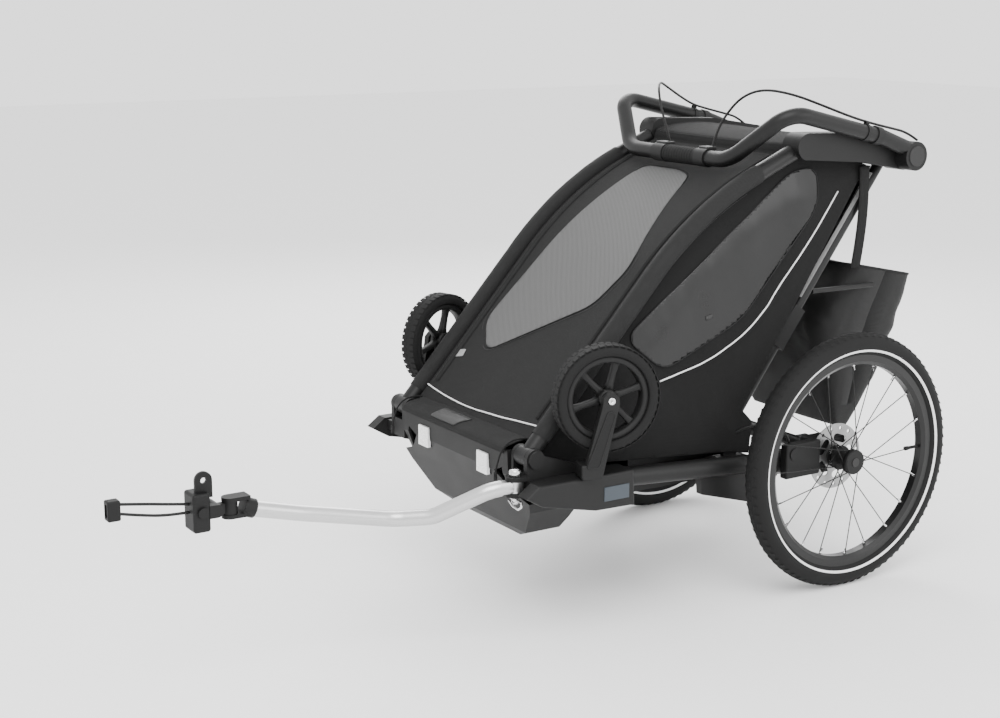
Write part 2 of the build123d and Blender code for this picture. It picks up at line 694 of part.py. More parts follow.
LEFT_CABLE = [(88, -180, 847), (88, -173, 872), (95, -153, 909), (120, -138, 941), (160, -121, 956),
              (203, -85, 947), (234, -38, 926), (253, 14, 905), (258, 62, 891.5), (258, 112, 880.5),
              (258, 160, 870), (258, 188, 853.5)]
RIGHT_CABLE = [(-44, -181, 847), (-50, -186, 875), (-68, -186, 912), (-95, -172, 945),
               (-132, -140, 957), (-172, -92, 944), (-208, -28, 920), (-240, 33, 899),
               (-257, 88, 886.5), (-258, 134, 875.5), (-258, 172, 866), (-258, 194, 850)]
LOWER_CABLE = [(264, -117, 292.3), (264, -124, 311), (257, -145, 327), (240, -173, 331),
               (222, -199, 323), (209.4, -212, 311)]


# ---------------------------------------------------------------- stowed stroller wheels

def caster_frame():
    """The stowed wheel's own axes: X across it and Y from its stem towards its centre."""
    x_dir = (cos(radians(CASTER_TURN)), -sin(radians(CASTER_TURN)), 0)
    return Location(Plane(origin=(STEM_X, STEM_Y, 0), x_dir=x_dir, z_dir=(0, 0, 1)))


def caster_wheel():
    """A tyre and a core with six spokes, about the X axis."""
    rim_r = CASTER_R - 20
    half = CASTER_W / 2
    section = Pos(0, rim_r + 8) * Rectangle(CASTER_W, 2 * 12 - 8)
    section = fillet(section.vertices().group_by(Axis.Y)[-1], 7)
    tyre_ring = revolve(section, Axis.X)
    core = turned([(-half + 4, rim_r - 8), (half - 4, rim_r - 8), (half - 4, rim_r - RUN),
                   (-half + 4, rim_r - RUN)])
    core += rod((-14, 0, 0), (14, 0, 0), 16)
    for n in range(6):
        angle = radians(60 * n + 15)
        core += rod((0, 12 * cos(angle), 12 * sin(angle)),
                    (0, (rim_r - 4) * cos(angle), (rim_r - 4) * sin(angle)), 5.5)
    return tyre_ring, core - rod((-20, 0, 0), (20, 0, 0), 5 + RUN)


def caster_fork():
    """A one-sided leg with the wheel's axle, on a base with the stem below it."""
    rise = CASTER_Z
    leg_x = CASTER_W / 2 + 2.5
    foot = SOCKET_TOP + GAP
    leg = slab([(-16, foot), (20, foot), (CASTER_TRAIL + 15, rise - 6), (CASTER_TRAIL + 14, rise + 6),
                (CASTER_TRAIL, rise + 17), (CASTER_TRAIL - 14, rise + 6), (CASTER_TRAIL - 16, rise - 8)],
               leg_x, leg_x + 11)
    base = block(-12, leg_x + 11, -18, 20, foot, foot + 26, 4)
    axle = disc(CASTER_TRAIL, rise, 5, -14, leg_x)
    stem = rod((0, 0, 254), (0, 0, foot + 5), STEM_R)
    return leg + base + axle + stem


def casters():
    frame = caster_frame()
    tyre_ring, core = caster_wheel()
    at_wheel = frame * Location((0, CASTER_TRAIL, CASTER_Z))
    for side, place in (("left", lambda s: s), ("right", flip)):
        keep(f"caster_wheel_{side}", place(at_wheel * tyre_ring), place(at_wheel * core))
        keep(f"caster_fork_{side}", place(frame * caster_fork()))


# ---------------------------------------------------------------- hitch

ARM_POINTS = [(HITCH_X, HITCH_PIN_Y - 8, HITCH_Z), (HITCH_X - 8, -768, 294), (168, -848, 244),
              (125, -900, 237), (97, -1062, 268), (93, -1164, 294)]
ARM_BENDS = [60, 60, 60, 200]


def hitch_arm():
    """The bent draw arm, with a flat eye at its root for the upright pin."""
    arm = tube(ARM_POINTS, ARM_BENDS, ARM_R)
    eye = rod((HITCH_X, HITCH_PIN_Y, HITCH_Z - 10), (HITCH_X, HITCH_PIN_Y, HITCH_Z + 10), 15)
    arm -= block(HITCH_X - 40, HITCH_X + 40, -750, -690, HITCH_Z + 10, HITCH_Z + 30)
    arm -= block(HITCH_X - 40, HITCH_X + 40, -750, -690, HITCH_Z - 30, HITCH_Z - 10)
    bore = rod((HITCH_X, HITCH_PIN_Y, 270), (HITCH_X, HITCH_PIN_Y, 330), ARM_PIN_R + RUN)
    return arm + eye - bore


def arm_bracket():
    """A fork on the left front corner that the arm's eye swings in."""
    back = FOLD_Y - 18 - GAP
    ears = []
    for z0, z1 in ((HITCH_Z + 10.4, HITCH_Z + 17.4), (HITCH_Z - 18, HITCH_Z - 10.4)):
        ear = block(HITCH_X - 17, HITCH_X + 17, HITCH_PIN_Y, back, z0, z1)
        ears.append(ear + rod((HITCH_X, HITCH_PIN_Y, z0), (HITCH_X, HITCH_PIN_Y, z1), 17))
    web = block(HITCH_X - 17, HITCH_X + 17, back - 2.2, back, HITCH_Z - 18, HITCH_Z + 17.4)
    bore = rod((HITCH_X, HITCH_PIN_Y, 260), (HITCH_X, HITCH_PIN_Y, 340), ARM_PIN_R)
    return ears[0] + ears[1] + web - bore


def arm_pin():
    """The silver hitch pin, its knob above and its clip below."""
    top = HITCH_Z + 17.4
    foot = HITCH_Z - 18
    pin = rod((HITCH_X, HITCH_PIN_Y, foot - 14), (HITCH_X, HITCH_PIN_Y, top), ARM_PIN_R)
    knob = rod((HITCH_X, HITCH_PIN_Y, top), (HITCH_X, HITCH_PIN_Y, top + 12), 10)
    knob = fillet(knob.edges().group_by(Axis.Z)[-1], 3)
    clip = rod((HITCH_X - 18, HITCH_PIN_Y, foot - 7), (HITCH_X + 22, HITCH_PIN_Y, foot - 7), 1.8)
    return pin + knob + clip


KNUCKLE = (92.0, -1192.0, 300.0)
PITCH = (92.0, -1222.0, 303.0)


def hitch_knuckle():
    """The swivel block: an upright pin in the arm's fork, and a cross pin in the receiver."""
    x, y, z = KNUCKLE
    body = rod((x, y, z - 11), (x, y, z + 11), 13)
    body += block(x - 7, x + 7, PITCH[1], y, z - 9, z + 9)
    body += disc(PITCH[1], PITCH[2], 11, x - 7, x + 7)
    body -= rod((x, y, z - 20), (x, y, z + 20), 4 + RUN)
    return body - disc(PITCH[1], PITCH[2], 4 + RUN, x - 20, x + 20)


def arm_head():
    """The black fork at the arm's front end that holds the knuckle's upright pin."""
    x, y, z = KNUCKLE
    body = rod((93, -1150, 290.5), (x, y + 22, z - 2), 16.5)
    for z0, z1 in ((z + 11.3, z + 18), (z - 18, z - 11.3)):
        body += block(x - 14, x + 14, y, y + 32, z0, z1)
        body += rod((x, y, z0), (x, y, z1), 14)
    body -= rod((x, y, z - 11.3), (x, y, z + 11.3), 16)
    body += rod((x, y, z - 18), (x, y, z + 18), 4)
    return body - tube(ARM_POINTS, ARM_BENDS, ARM_R + RUN)


def hitch_receiver():
    """The plate that goes under the bicycle's axle nut, with the two ears of the cross pin."""
    x, y, z = PITCH
    axle_x, axle_y, axle_z = BIKE_AXLE
    body = block(x - 22, x + 22, y - 42, y - 12, 270, 336, 5)
    for x0, x1 in ((x - 22, x - 7.4), (x + 7.4, x + 22)):
        body += block(x0, x1, y - 14, y, z - 11, z + 11)
        body += disc(y, z, 11, x0, x1)
    body += disc(y, z, 4, x - 10, x + 10)
    plate = slab([(axle_y - 15, axle_z), (axle_y + 15, axle_z), (axle_y + 15, 325), (axle_y - 15, 325)],
                 axle_x - 3, axle_x + 3)
    plate += disc(axle_y, axle_z, 15, axle_x - 3, axle_x + 3)
    body += plate
    return body - disc(axle_y, axle_z, BIKE_AXLE_R, axle_x - 5, axle_x + 5)


def hitch_lock():
    return disc(PITCH[1] - 26, PITCH[2] + 2, 9, PITCH[0] + 22 + RUN, PITCH[0] + 27)


STRAP_UPPER = [(96, -1264.7, 318), (97, -1296, 323), (97, -1334, 330), (96, -1381.6, 337)]
STRAP_LOWER = [(96, -1264.7, 304), (97, -1296, 305), (97, -1334, 310), (96, -1381.2, 321)]


def strap_buckle():
    body = block(86, 106, -1404, -1382.2, 312, 346, 3)
    return body - block(91, 101, -1410, -1388, 318, 340)


# ---------------------------------------------------------------- the whole trailer

def build():
    big_wheels()
    keep("axles_and_pins", *pair(stub_axle()), *pair(fold_pin()))
    keep("side_rails", *pair(side_rail()))
    keep("axle_carriers", *pair(axle_carrier()))
    keep("front_castings", *pair(front_casting()))
    keep("strut_pivots", *pair(strut_pivot()))
    keep("cross_tubes", *cross_tubes(), *pair(rail_bracket()))
    keep("socket_housings", *pair(socket_housing()))
    keep("socket_button_left", socket_button())
    keep("socket_button_right", flip(socket_button()))
    keep("brake_calipers", *pair(brake_caliper()))
    keep("brake_pedal", brake_pedal())
    keep("floor_pan", floor_pan(), seat_base())
    keep("seat_cushion", seat_cushion())
    keep("front_bumper", bumper())
    keep("bumper_reflectors", *pair(bumper_reflector()))
    lower = cord("lower cable", LOWER_CABLE, CABLE_R)
    keep("lower_brake_cables", *pair(lower))
    keep("roll_tubes", *pair(roll_tube()))
    keep("top_brackets", *pair(top_bracket()), *pair(hub_pin()))
    keep("roof_bows", *roof_bows())
    keep("front_cover", front_cover())
    keep("roof_panel", roof_panel())
    keep("side_panels", *pair(side_panel()))
    keep("zip_pulls", *pair(zip_pull()))
    keep("struts", *pair(strut()))
    keep("strut_crossbars", *crossbars(), *pair(bag_arm()))
    keep("seat_back", seat_back())
    keep("rear_panel", rear_panel())
    keep("cargo_bag", cargo_bag())
    keep("strut_buckles", *pair(strut_buckle()))
    keep("bag_straps", *pair(bag_strap()))
    keep("handlebar_tube", handlebar())
    keep("handlebar_hubs", *pair(handlebar_hub()))
    keep("hub_button_left", hub_button())
    keep("hub_button_right", flip(hub_button()))
    collars = pair(arm_ring(7, 16, BAR_R + 2.2))
    keep("handlebar_fittings", *collars, *pair(cable_clip()), *cable_stops())
    keep("twist_grip", twist_grip())
    keep("brake_cables", cord("left brake cable", LEFT_CABLE, CABLE_R),
         cord("right brake cable", RIGHT_CABLE, CABLE_R))
    casters()
    keep("hitch_arm", hitch_arm())
    keep("arm_head", arm_head())
    keep("arm_bracket", arm_bracket(), arm_pin())
    keep("hitch_knuckle", hitch_knuckle())
    keep("hitch_receiver", hitch_receiver(), hitch_lock())
    strap = [cord("safety strap", route, 2.6) for route in (STRAP_UPPER, STRAP_LOWER)]
    keep("safety_strap", *strap)
    keep("strap_buckle", strap_buckle())


CORDS = ("safety_strap", "strap_buckle", "zip_pulls")

build()
low = min(s.bounding_box().min.Y for name, group in kept.items() if name not in CORDS for s in group)
high = max(s.bounding_box().max.Y for name, group in kept.items() if name not in CORDS for s in group)
shift = -(low + high) / 2
print("nodes", len(kept), "length", round(high - low, 2), "shift along Y", round(shift, 4))
os.makedirs("parts", exist_ok=True)
for name, group in kept.items():
    export_step(Pos(0, shift, 0) * Compound(group), f"parts/{name}.step")
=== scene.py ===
import json
import math
import bmesh
import bpy
import numpy as np
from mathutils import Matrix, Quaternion, Vector, noise

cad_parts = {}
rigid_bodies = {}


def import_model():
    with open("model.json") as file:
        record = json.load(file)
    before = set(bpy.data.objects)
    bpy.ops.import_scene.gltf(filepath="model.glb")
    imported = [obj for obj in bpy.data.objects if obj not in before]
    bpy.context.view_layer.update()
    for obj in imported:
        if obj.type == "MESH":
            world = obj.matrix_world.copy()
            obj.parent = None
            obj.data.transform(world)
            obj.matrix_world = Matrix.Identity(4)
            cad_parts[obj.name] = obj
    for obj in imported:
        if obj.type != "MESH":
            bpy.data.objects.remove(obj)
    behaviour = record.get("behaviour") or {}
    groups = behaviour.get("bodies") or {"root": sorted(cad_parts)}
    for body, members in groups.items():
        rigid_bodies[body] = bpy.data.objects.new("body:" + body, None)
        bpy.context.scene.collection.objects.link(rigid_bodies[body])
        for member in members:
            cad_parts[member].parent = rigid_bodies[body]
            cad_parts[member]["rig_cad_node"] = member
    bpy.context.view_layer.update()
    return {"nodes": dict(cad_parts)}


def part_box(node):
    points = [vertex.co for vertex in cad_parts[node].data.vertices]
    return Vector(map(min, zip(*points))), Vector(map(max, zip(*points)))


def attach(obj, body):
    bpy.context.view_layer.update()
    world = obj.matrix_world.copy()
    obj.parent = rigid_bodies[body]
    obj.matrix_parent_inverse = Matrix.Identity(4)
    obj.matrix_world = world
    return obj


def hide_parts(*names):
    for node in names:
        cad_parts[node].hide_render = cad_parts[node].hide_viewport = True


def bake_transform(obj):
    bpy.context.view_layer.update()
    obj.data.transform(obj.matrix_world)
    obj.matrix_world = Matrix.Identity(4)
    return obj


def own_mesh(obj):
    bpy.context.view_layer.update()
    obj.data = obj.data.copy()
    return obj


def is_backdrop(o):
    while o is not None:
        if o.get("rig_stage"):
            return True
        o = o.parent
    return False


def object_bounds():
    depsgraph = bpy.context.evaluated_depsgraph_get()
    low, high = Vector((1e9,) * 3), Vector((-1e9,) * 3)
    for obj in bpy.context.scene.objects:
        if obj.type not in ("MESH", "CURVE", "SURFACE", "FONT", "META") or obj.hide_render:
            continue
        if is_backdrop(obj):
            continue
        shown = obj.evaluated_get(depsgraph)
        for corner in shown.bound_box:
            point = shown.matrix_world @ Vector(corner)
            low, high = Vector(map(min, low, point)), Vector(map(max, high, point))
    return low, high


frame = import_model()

nodes = frame["nodes"]
rimLow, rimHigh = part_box("rim_left")
axleBack = (rimLow.y + rimHigh.y) / 2    # the wheel axle, along Y


def at(x, y, z):
    # a place in millimetres from the ground under the wheel axle
    return Vector((x / 1000, axleBack + y / 1000, z / 1000))


print("frame loaded:", len(nodes), "CAD nodes")

# camera and the room

view = {
    "place": (2.55089, -1.73911, 1.13783),
    "azimuth": 57.6286,
    "elevation": 12.5779,
    "roll": 0.0855,
    "lens": 59.69,
}
camera = bpy.data.objects.new("camera", bpy.data.cameras.new("camera"))
bpy.context.scene.collection.objects.link(camera)
camera.data.lens = view["lens"]
camera.data.sensor_width = 36
camera.location = view["place"]
turn, rise = math.radians(view["azimuth"]), math.radians(view["elevation"])
back = Vector((math.sin(turn) * math.cos(rise), -math.cos(turn) * math.cos(rise), math.sin(rise)))
camera.rotation_mode = "QUATERNION"
roll = Quaternion((0, 0, 1), math.radians(view["roll"]))
camera.rotation_quaternion = (-back).to_track_quat("-Z", "Y") @ roll
bpy.context.scene.camera = camera


# materials

class Wire:
    # one socket in a material's node tree, so that shader maths reads as plain sums
    def __init__(self, tree, socket=None):
        self.tree = tree
        self.socket = socket

    def make(self, kind, settings, inputs, output=0):
        node = self.tree.nodes.new(kind)
        for key, value in settings.items():
            if key == "stops":
                for spot, (place, shade) in enumerate(value):
                    stops = node.color_ramp.elements
                    stop = stops[spot] if spot < len(stops) else stops.new(place)
                    stop.position = place
                    stop.color = (shade, shade, shade, 1)
            else:
                setattr(node, key, value)
        for key, value in inputs.items():
            if isinstance(value, Wire):
                self.tree.links.new(value.socket, node.inputs[key])
            else:
                node.inputs[key].default_value = value
        return Wire(self.tree, node.outputs[output])

    def maths(self, operation, first, second=0.0):
        return self.make("ShaderNodeMath", {"operation": operation}, {0: first, 1: second})

    def __add__(self, other):
        return self.maths("ADD", self, other)

    __radd__ = __add__

    def __sub__(self, other):
        return self.maths("SUBTRACT", self, other)

    def __rsub__(self, other):
        return self.maths("SUBTRACT", other, self)

    def __mul__(self, other):
        return self.maths("MULTIPLY", self, other)

    __rmul__ = __mul__


def shade(level):
    # a screen grey from 0 to 255, or three of them, as a linear colour
    parts = level if isinstance(level, tuple) else (level,) * 3
    linear = [((p / 255 + 0.055) / 1.055) ** 2.4 if p > 10 else p / 255 / 12.92 for p in parts]
    return (*linear, 1.0)


def speckle(board, place, scale, detail=3.0):
    return board.make("ShaderNodeTexNoise", {}, {"Vector": place, "Scale": scale, "Detail": detail})


def between(board, amount, low, high):
    # a colour from low to high
    return board.make("ShaderNodeMix", {"data_type": "RGBA"}, {0: amount, 6: low, 7: high}, 2)


def bumped(board, height, depth, strength=1.0):
    return board.make("ShaderNodeBump", {}, {"Height": height, "Distance": depth, "Strength": strength})


def axes(board, place):
    split = board.make("ShaderNodeSeparateXYZ", {}, {0: place}).socket.node
    return [Wire(board.tree, out) for out in split.outputs]


diagonal = 0.7071    # how far a 45 degree slope runs along Y or Z


def waves(board, along, pitch):
    return board.make("ShaderNodeMath", {"operation": "SINE"}, {0: along * (2 * math.pi / pitch)})


def threads(board, place, pitch):
    # woven threads on faces that are upright, flat or sloping across the trailer
    x, y, z = axes(board, place)
    across = waves(board, x, pitch)
    up = waves(board, (y + z) * diagonal, pitch)
    down = waves(board, (y - z) * diagonal, pitch)
    return across * up + up * down + across * down


def paint(name, recipe, colour, roughness, metallic=0.0, coat=0.0, sheen=0.0, gloss=0.24,
          **recipeValues):
    material = bpy.data.materials.new(name)
    material.use_nodes = True
    material.diffuse_color = colour
    tree = material.node_tree
    shader = tree.nodes["Principled BSDF"]
    shader.inputs["Metallic"].default_value = metallic
    shader.inputs["Coat Weight"].default_value = coat
    shader.inputs["Specular IOR Level"].default_value = 0.5 if metallic else gloss
    shader.inputs["Coat Roughness"].default_value = 0.18
    shader.inputs["Sheen Weight"].default_value = sheen
    shader.inputs["Sheen Roughness"].default_value = 0.5
    board = Wire(tree)
    place = board.make("ShaderNodeTexCoord", {}, {}, "Object")
    for socket, wire in recipe(board, place, colour, roughness, **recipeValues).items():
        tree.links.new(wire.socket, shader.inputs[socket])
    return material


def mixedTones(board, colour, amount, spread):
    low = tuple(c * (1 - spread) for c in colour[:3]) + (1.0,)
    high = tuple(min(1.0, c * (1 + spread)) for c in colour[:3]) + (1.0,)
    return between(board, amount, low, high)


def cloth(board, place, colour, roughness, pitch=0.0016, spread=0.22, depth=0.0005):
    # woven thread, with soft wear and a heather of lighter fibres
    weave = threads(board, place, pitch)
    patches = speckle(board, place, 9, 4)
    fibres = speckle(board, place, 900, 2)
    tone = patches * 0.6 + fibres * 0.4
    return {
        "Base Color": mixedTones(board, colour, tone, spread),
        "Roughness": patches * 0.12 + (roughness - 0.06),
        "Normal": bumped(board, weave * 0.3 + fibres * 0.5 + patches * 3, depth, 0.8),
    }


def netting(board, place, colour, roughness, pitch=0.0042, depth=0.0007):
    # open mesh: small dark holes between pale threads
    x, y, z = axes(board, place)
    rows = waves(board, x, pitch)
    columns = waves(board, (y + z) * diagonal, pitch)
    openHole = board.make("ShaderNodeValToRGB", {"stops": [(0.35, 0.0), (0.62, 1.0)]},
                          {"Fac": rows * columns * 0.5 + 0.5})
    patches = speckle(board, place, 6)
    dark = tuple(c * 0.42 for c in colour[:3]) + (1.0,)
    return {
        "Base Color": between(board, openHole, dark, colour),
        "Roughness": patches * 0.1 + roughness,
        "Normal": bumped(board, rows * columns, depth, 0.7),
    }


def moulded(board, place, colour, roughness, grain=1400, spread=0.14, depth=0.00016):
    # fine spark-eroded texture of a moulding, or powder coat on a tube
    grains = speckle(board, place, grain, 2)
    patches = speckle(board, place, 14, 4)
    return {
        "Base Color": mixedTones(board, colour, patches, spread),
        "Roughness": patches * 0.14 + (roughness - 0.07),
        "Normal": bumped(board, grains, depth, 0.7),
    }


def brushed(board, place, colour, roughness, stretch=(30, 900, 900), depth=0.00008):
    # satin metal with fine lines along X, Y or Z
    lines = board.make("ShaderNodeMapping", {}, {"Vector": place, "Scale": stretch})
    streaks = speckle(board, lines, 1, 3)
    patches = speckle(board, place, 11)
    return {
        "Base Color": mixedTones(board, colour, streaks, 0.1),
        "Roughness": streaks * 0.14 + patches * 0.08 + (roughness - 0.1),
        "Normal": bumped(board, streaks, depth, 0.6),
    }


def rubber(board, place, colour, roughness, depth=0.0003):
    dust = speckle(board, place, 22, 5)
    grains = speckle(board, place, 700, 2)
    return {
        "Base Color": mixedTones(board, colour, dust, 0.3),
        "Roughness": dust * 0.2 + (roughness - 0.1),
        "Normal": bumped(board, grains, depth, 0.6),
    }


def prisms(board, place, colour, roughness):
    # a reflector's moulded cells
    cells = board.make("ShaderNodeTexVoronoi", {}, {"Vector": place, "Scale": 420})
    return {
        "Base Color": mixedTones(board, colour, cells, 0.12),
        "Roughness": cells * 0.2 + roughness,
        "Normal": bumped(board, cells, 0.0012, 0.8),
    }


def webbing(board, place, colour, roughness):
    x, y, z = axes(board, place)
    ribs = waves(board, y + z, 0.0022) * 0.6 + waves(board, x + z, 0.003) * 0.4
    patches = speckle(board, place, 30)
    return {
        "Base Color": mixedTones(board, colour, patches, 0.2),
        "Roughness": patches * 0.1 + roughness,
        "Normal": bumped(board, ribs, 0.0005, 0.8),
    }


finishes = {
    "coverCloth": paint("coverCloth", cloth, shade(33), 0.88, sheen=0.02, gloss=0.1),
    "panelCloth": paint("panelCloth", cloth, shade(24), 0.88, sheen=0.02, gloss=0.1),
    "bandCloth": paint("bandCloth", cloth, shade(27), 0.74, pitch=0.0022, gloss=0.2),
    "bagCloth": paint("bagCloth", cloth, shade(16), 0.6, sheen=0.02, gloss=0.26, spread=0.35),
    "seatCloth": paint("seatCloth", cloth, shade(42), 0.9, pitch=0.0024, spread=0.3),
    "net": paint("net", netting, shade(100), 0.7),
    "tintedFilm": paint("tintedFilm", moulded, shade(24), 0.3, coat=0.1, grain=60, depth=0.0001),
    "tubeCoat": paint("tubeCoat", moulded, shade(17), 0.42),
    "plastic": paint("plastic", moulded, shade(19), 0.54),
    "darkPlastic": paint("darkPlastic", moulded, shade(14), 0.58),
    "patchPlastic": paint("patchPlastic", moulded, shade(44), 0.5),
    "buttonPlastic": paint("buttonPlastic", moulded, shade((58, 64, 70)), 0.45),
    "hubPlastic": paint("hubPlastic", moulded, shade(36), 0.5),
    "tyreRubber": paint("tyreRubber", rubber, shade(18), 0.8),
    "gripRubber": paint("gripRubber", rubber, shade(16), 0.7),
    "rimCoat": paint("rimCoat", moulded, shade(15), 0.34, coat=0.2),
    "spokeCoat": paint("spokeCoat", moulded, shade(17), 0.38),
    "rotorSteel": paint("rotorSteel", brushed, shade(150), 0.34, metallic=1.0),
    "brightSteel": paint("brightSteel", brushed, shade(215), 0.22, metallic=1.0),
    "armAlloy": paint("armAlloy", brushed, shade(196), 0.34, metallic=1.0, stretch=(700, 40, 700)),
    "pipingWhite": paint("pipingWhite", webbing, shade(228), 0.5),
    "sidewallWhite": paint("sidewallWhite", prisms, shade(226), 0.4),
    "reflector": paint("reflector", prisms, shade(238), 0.16, coat=0.8),
    "cableSleeve": paint("cableSleeve", moulded, shade(13), 0.42, grain=900),
    "strapWeb": paint("strapWeb", webbing, shade(21), 0.78),
    "stitching": paint("stitching", webbing, shade(66), 0.7),
    # grey webbing for the cover's tab; the same grey also makes the painted highlight strip along the rear
    # struts
    "greyWebAndHighlight": paint("greyWebAndHighlight", webbing, shade(150), 0.6),
}


def wear(obj, finish):
    if obj.type == "MESH" and "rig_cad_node" in obj and obj.data.materials:
        for spot in obj.material_slots:
            spot.link = "OBJECT"
            spot.material = finishes[finish]
    else:
        obj.data.materials.clear()
        obj.data.materials.append(finishes[finish])
    return obj


cadFinishes = {
    "tubeCoat": ["side_rails", "cross_tubes", "roll_tubes", "roof_bows", "struts", "strut_crossbars",
                 "handlebar_tube"],
    "plastic": ["axle_carriers", "front_castings", "strut_pivots", "socket_housings", "floor_pan",
                "front_bumper", "top_brackets", "strut_buckles", "handlebar_hubs", "handlebar_fittings",
                "brake_pedal", "caster_fork_left", "caster_fork_right"],
    "darkPlastic": ["brake_calipers", "arm_bracket", "arm_head", "hitch_knuckle", "hitch_receiver",
                    "strap_buckle", "wheel_hub_left", "wheel_hub_right", "axles_and_pins"],
    "buttonPlastic": ["socket_button_left", "socket_button_right"],
    "hubPlastic": ["axle_button_left", "axle_button_right", "hub_button_left", "hub_button_right"],
    "tyreRubber": ["tyre_left", "tyre_right"],
    "gripRubber": ["twist_grip"],
    "rimCoat": ["rim_left", "rim_right"],
    "spokeCoat": ["spokes_left", "spokes_right"],
    "rotorSteel": ["brake_rotor_left", "brake_rotor_right"],
    "armAlloy": ["hitch_arm"],
    "reflector": ["bumper_reflectors"],
}
for finish, names in cadFinishes.items():
    for name in names:
        wear(nodes[name], finish)
print("materials made:", len(finishes))


# mesh makers

def addMesh(name, points, faces, finish, smooth=True):
    mesh = bpy.data.meshes.new(name)
    mesh.from_pydata([tuple(p) for p in points], [], faces)
    mesh.validate()
    shaped = bmesh.new()
    shaped.from_mesh(mesh)
    bmesh.ops.remove_doubles(shaped, verts=shaped.verts, dist=1e-6)
    bmesh.ops.recalc_face_normals(shaped, faces=shaped.faces)
    shaped.to_mesh(mesh)
    shaped.free()
    mesh.polygons.foreach_set("use_smooth", [smooth] * len(mesh.polygons))
    obj = bpy.data.objects.new(name, mesh)
    bpy.context.scene.collection.objects.link(obj)
    return wear(obj, finish)


def thicken(obj, thickness, offset=0.0):
    solidify = obj.modifiers.new("thickness", "SOLIDIFY")
    solidify.thickness = thickness
    solidify.offset = offset
    return obj


def settle(obj):
    # applies the modifiers, so that the mesh is final
    bpy.context.view_layer.update()
    done = bpy.data.meshes.new_from_object(obj.evaluated_get(bpy.context.evaluated_depsgraph_get()))
    obj.modifiers.clear()
    obj.data = done
    return obj


def gridMesh(name, columns, rows, spot, finish):
    # a sheet of quads; spot(u, v) gives each corner for u and v from 0 to 1
    points = [spot(c / columns, r / rows) for r in range(rows + 1) for c in range(columns + 1)]
    wide = columns + 1
    faces = [(r * wide + c, r * wide + c + 1, (r + 1) * wide + c + 1, (r + 1) * wide + c)
             for r in range(rows) for c in range(columns)]
    return addMesh(name, points, faces, finish)


def cutCloth(name, outline, step, spot, finish):
    # cloth cut to a flat outline, divided every step, then put in place by spot(u, v)
    cut = bmesh.new()
    cut.faces.new([cut.verts.new((u, v, 0)) for u, v in outline])
    for axis in (0, 1):
        low = min(p[axis] for p in outline)
        high = max(p[axis] for p in outline)
        normal = (1, 0, 0) if axis == 0 else (0, 1, 0)
        for n in range(math.ceil(low / step), math.floor(high / step) + 1):
            corner = [0, 0, 0]
            corner[axis] = n * step
            bmesh.ops.bisect_plane(cut, geom=cut.verts[:] + cut.edges[:] + cut.faces[:],
                                   plane_co=corner, plane_no=normal)
    cut.verts.index_update()
    points = [spot(v.co.x, v.co.y) for v in cut.verts]
    faces = [tuple(v.index for v in f.verts) for f in cut.faces]
    cut.free()
    return addMesh(name, points, faces, finish)


def ringFaces(rings, around, closed=False, first=0):
    # faces between rings of points, with both ends capped where the rings don't close
    faces = []
    for n in range(rings if closed else rings - 1):
        here, after = first + n * around, first + (n + 1) % rings * around
        for k in range(around):
            other = (k + 1) % around
            faces.append((here + k, here + other, after + other, after + k))
    if not closed:
        faces.append(tuple(first + k for k in range(around - 1, -1, -1)))
        faces.append(tuple(first + (rings - 1) * around + k for k in range(around)))
    return faces


def pipe(name, line, radius, finish, sides=10, closed=False, flatten=1.0):
    # a round bead along a line of points
    line = [Vector(p) for p in line]
    count = len(line)
    points = []
    side = None
    for n, here in enumerate(line):
        before = line[(n - 1) % count] if closed else line[max(n - 1, 0)]
        after = line[(n + 1) % count] if closed else line[min(n + 1, count - 1)]
        way = (after - before).normalized()
        if side is None:
            side = way.orthogonal().normalized()
        side = (side - way * side.dot(way)).normalized()
        up = way.cross(side)
        for k in range(sides):
            angle = 2 * math.pi * k / sides
            points.append(here + (side * math.cos(angle) + up * math.sin(angle) * flatten) * radius)
    return addMesh(name, points, ringFaces(count, sides, closed), finish)


def blocks(name, places, size, finish, taper=0.8):
    # many small blocks; each place is (centre, along, outward), size is (along, across, height)
    points, faces = [], []
    for centre, along, outward in places:
        along, outward = along.normalized(), outward.normalized()
        across = along.cross(outward)
        first = len(points)
        for height, share in ((0, 1.0), (size[2], taper)):
            for i, j in ((-1, -1), (1, -1), (1, 1), (-1, 1)):
                points.append(centre + along * i * size[0] / 2 * share + across * j * size[1] / 2 * share
                              + outward * height)
        faces += [tuple(first + k for k in face) for face in
                  ((3, 2, 1, 0), (4, 5, 6, 7), (0, 1, 5, 4), (1, 2, 6, 5), (2, 3, 7, 6), (3, 0, 4, 7))]
    return addMesh(name, points, faces, finish, smooth=False)


def spun(name, outline, place, finish, steps=96):
    # a closed outline of (across, radius), turned about a wheel's axis; place(across, out, up) seats it
    count = len(outline)
    points = [place(across, radius * math.cos(2 * math.pi * n / steps),
                    radius * math.sin(2 * math.pi * n / steps))
              for n in range(steps) for across, radius in outline]
    return addMesh(name, points, ringFaces(steps, count, closed=True), finish)


def smoothLine(points, steps=8):
    # a curve through points in two or three dimensions
    points = [np.array(p, float) for p in points]
    ends = [2 * points[0] - points[1], *points, 2 * points[-1] - points[-2]]
    line = []
    for a, b, c, d in zip(ends, ends[1:], ends[2:], ends[3:]):
        for n in range(steps):
            t = n / steps
            line.append(0.5 * (2 * b + (c - a) * t + (2 * a - 5 * b + 4 * c - d) * t * t
                               + (3 * b - a - 3 * c + d) * t ** 3))
    return line + [points[-1]]


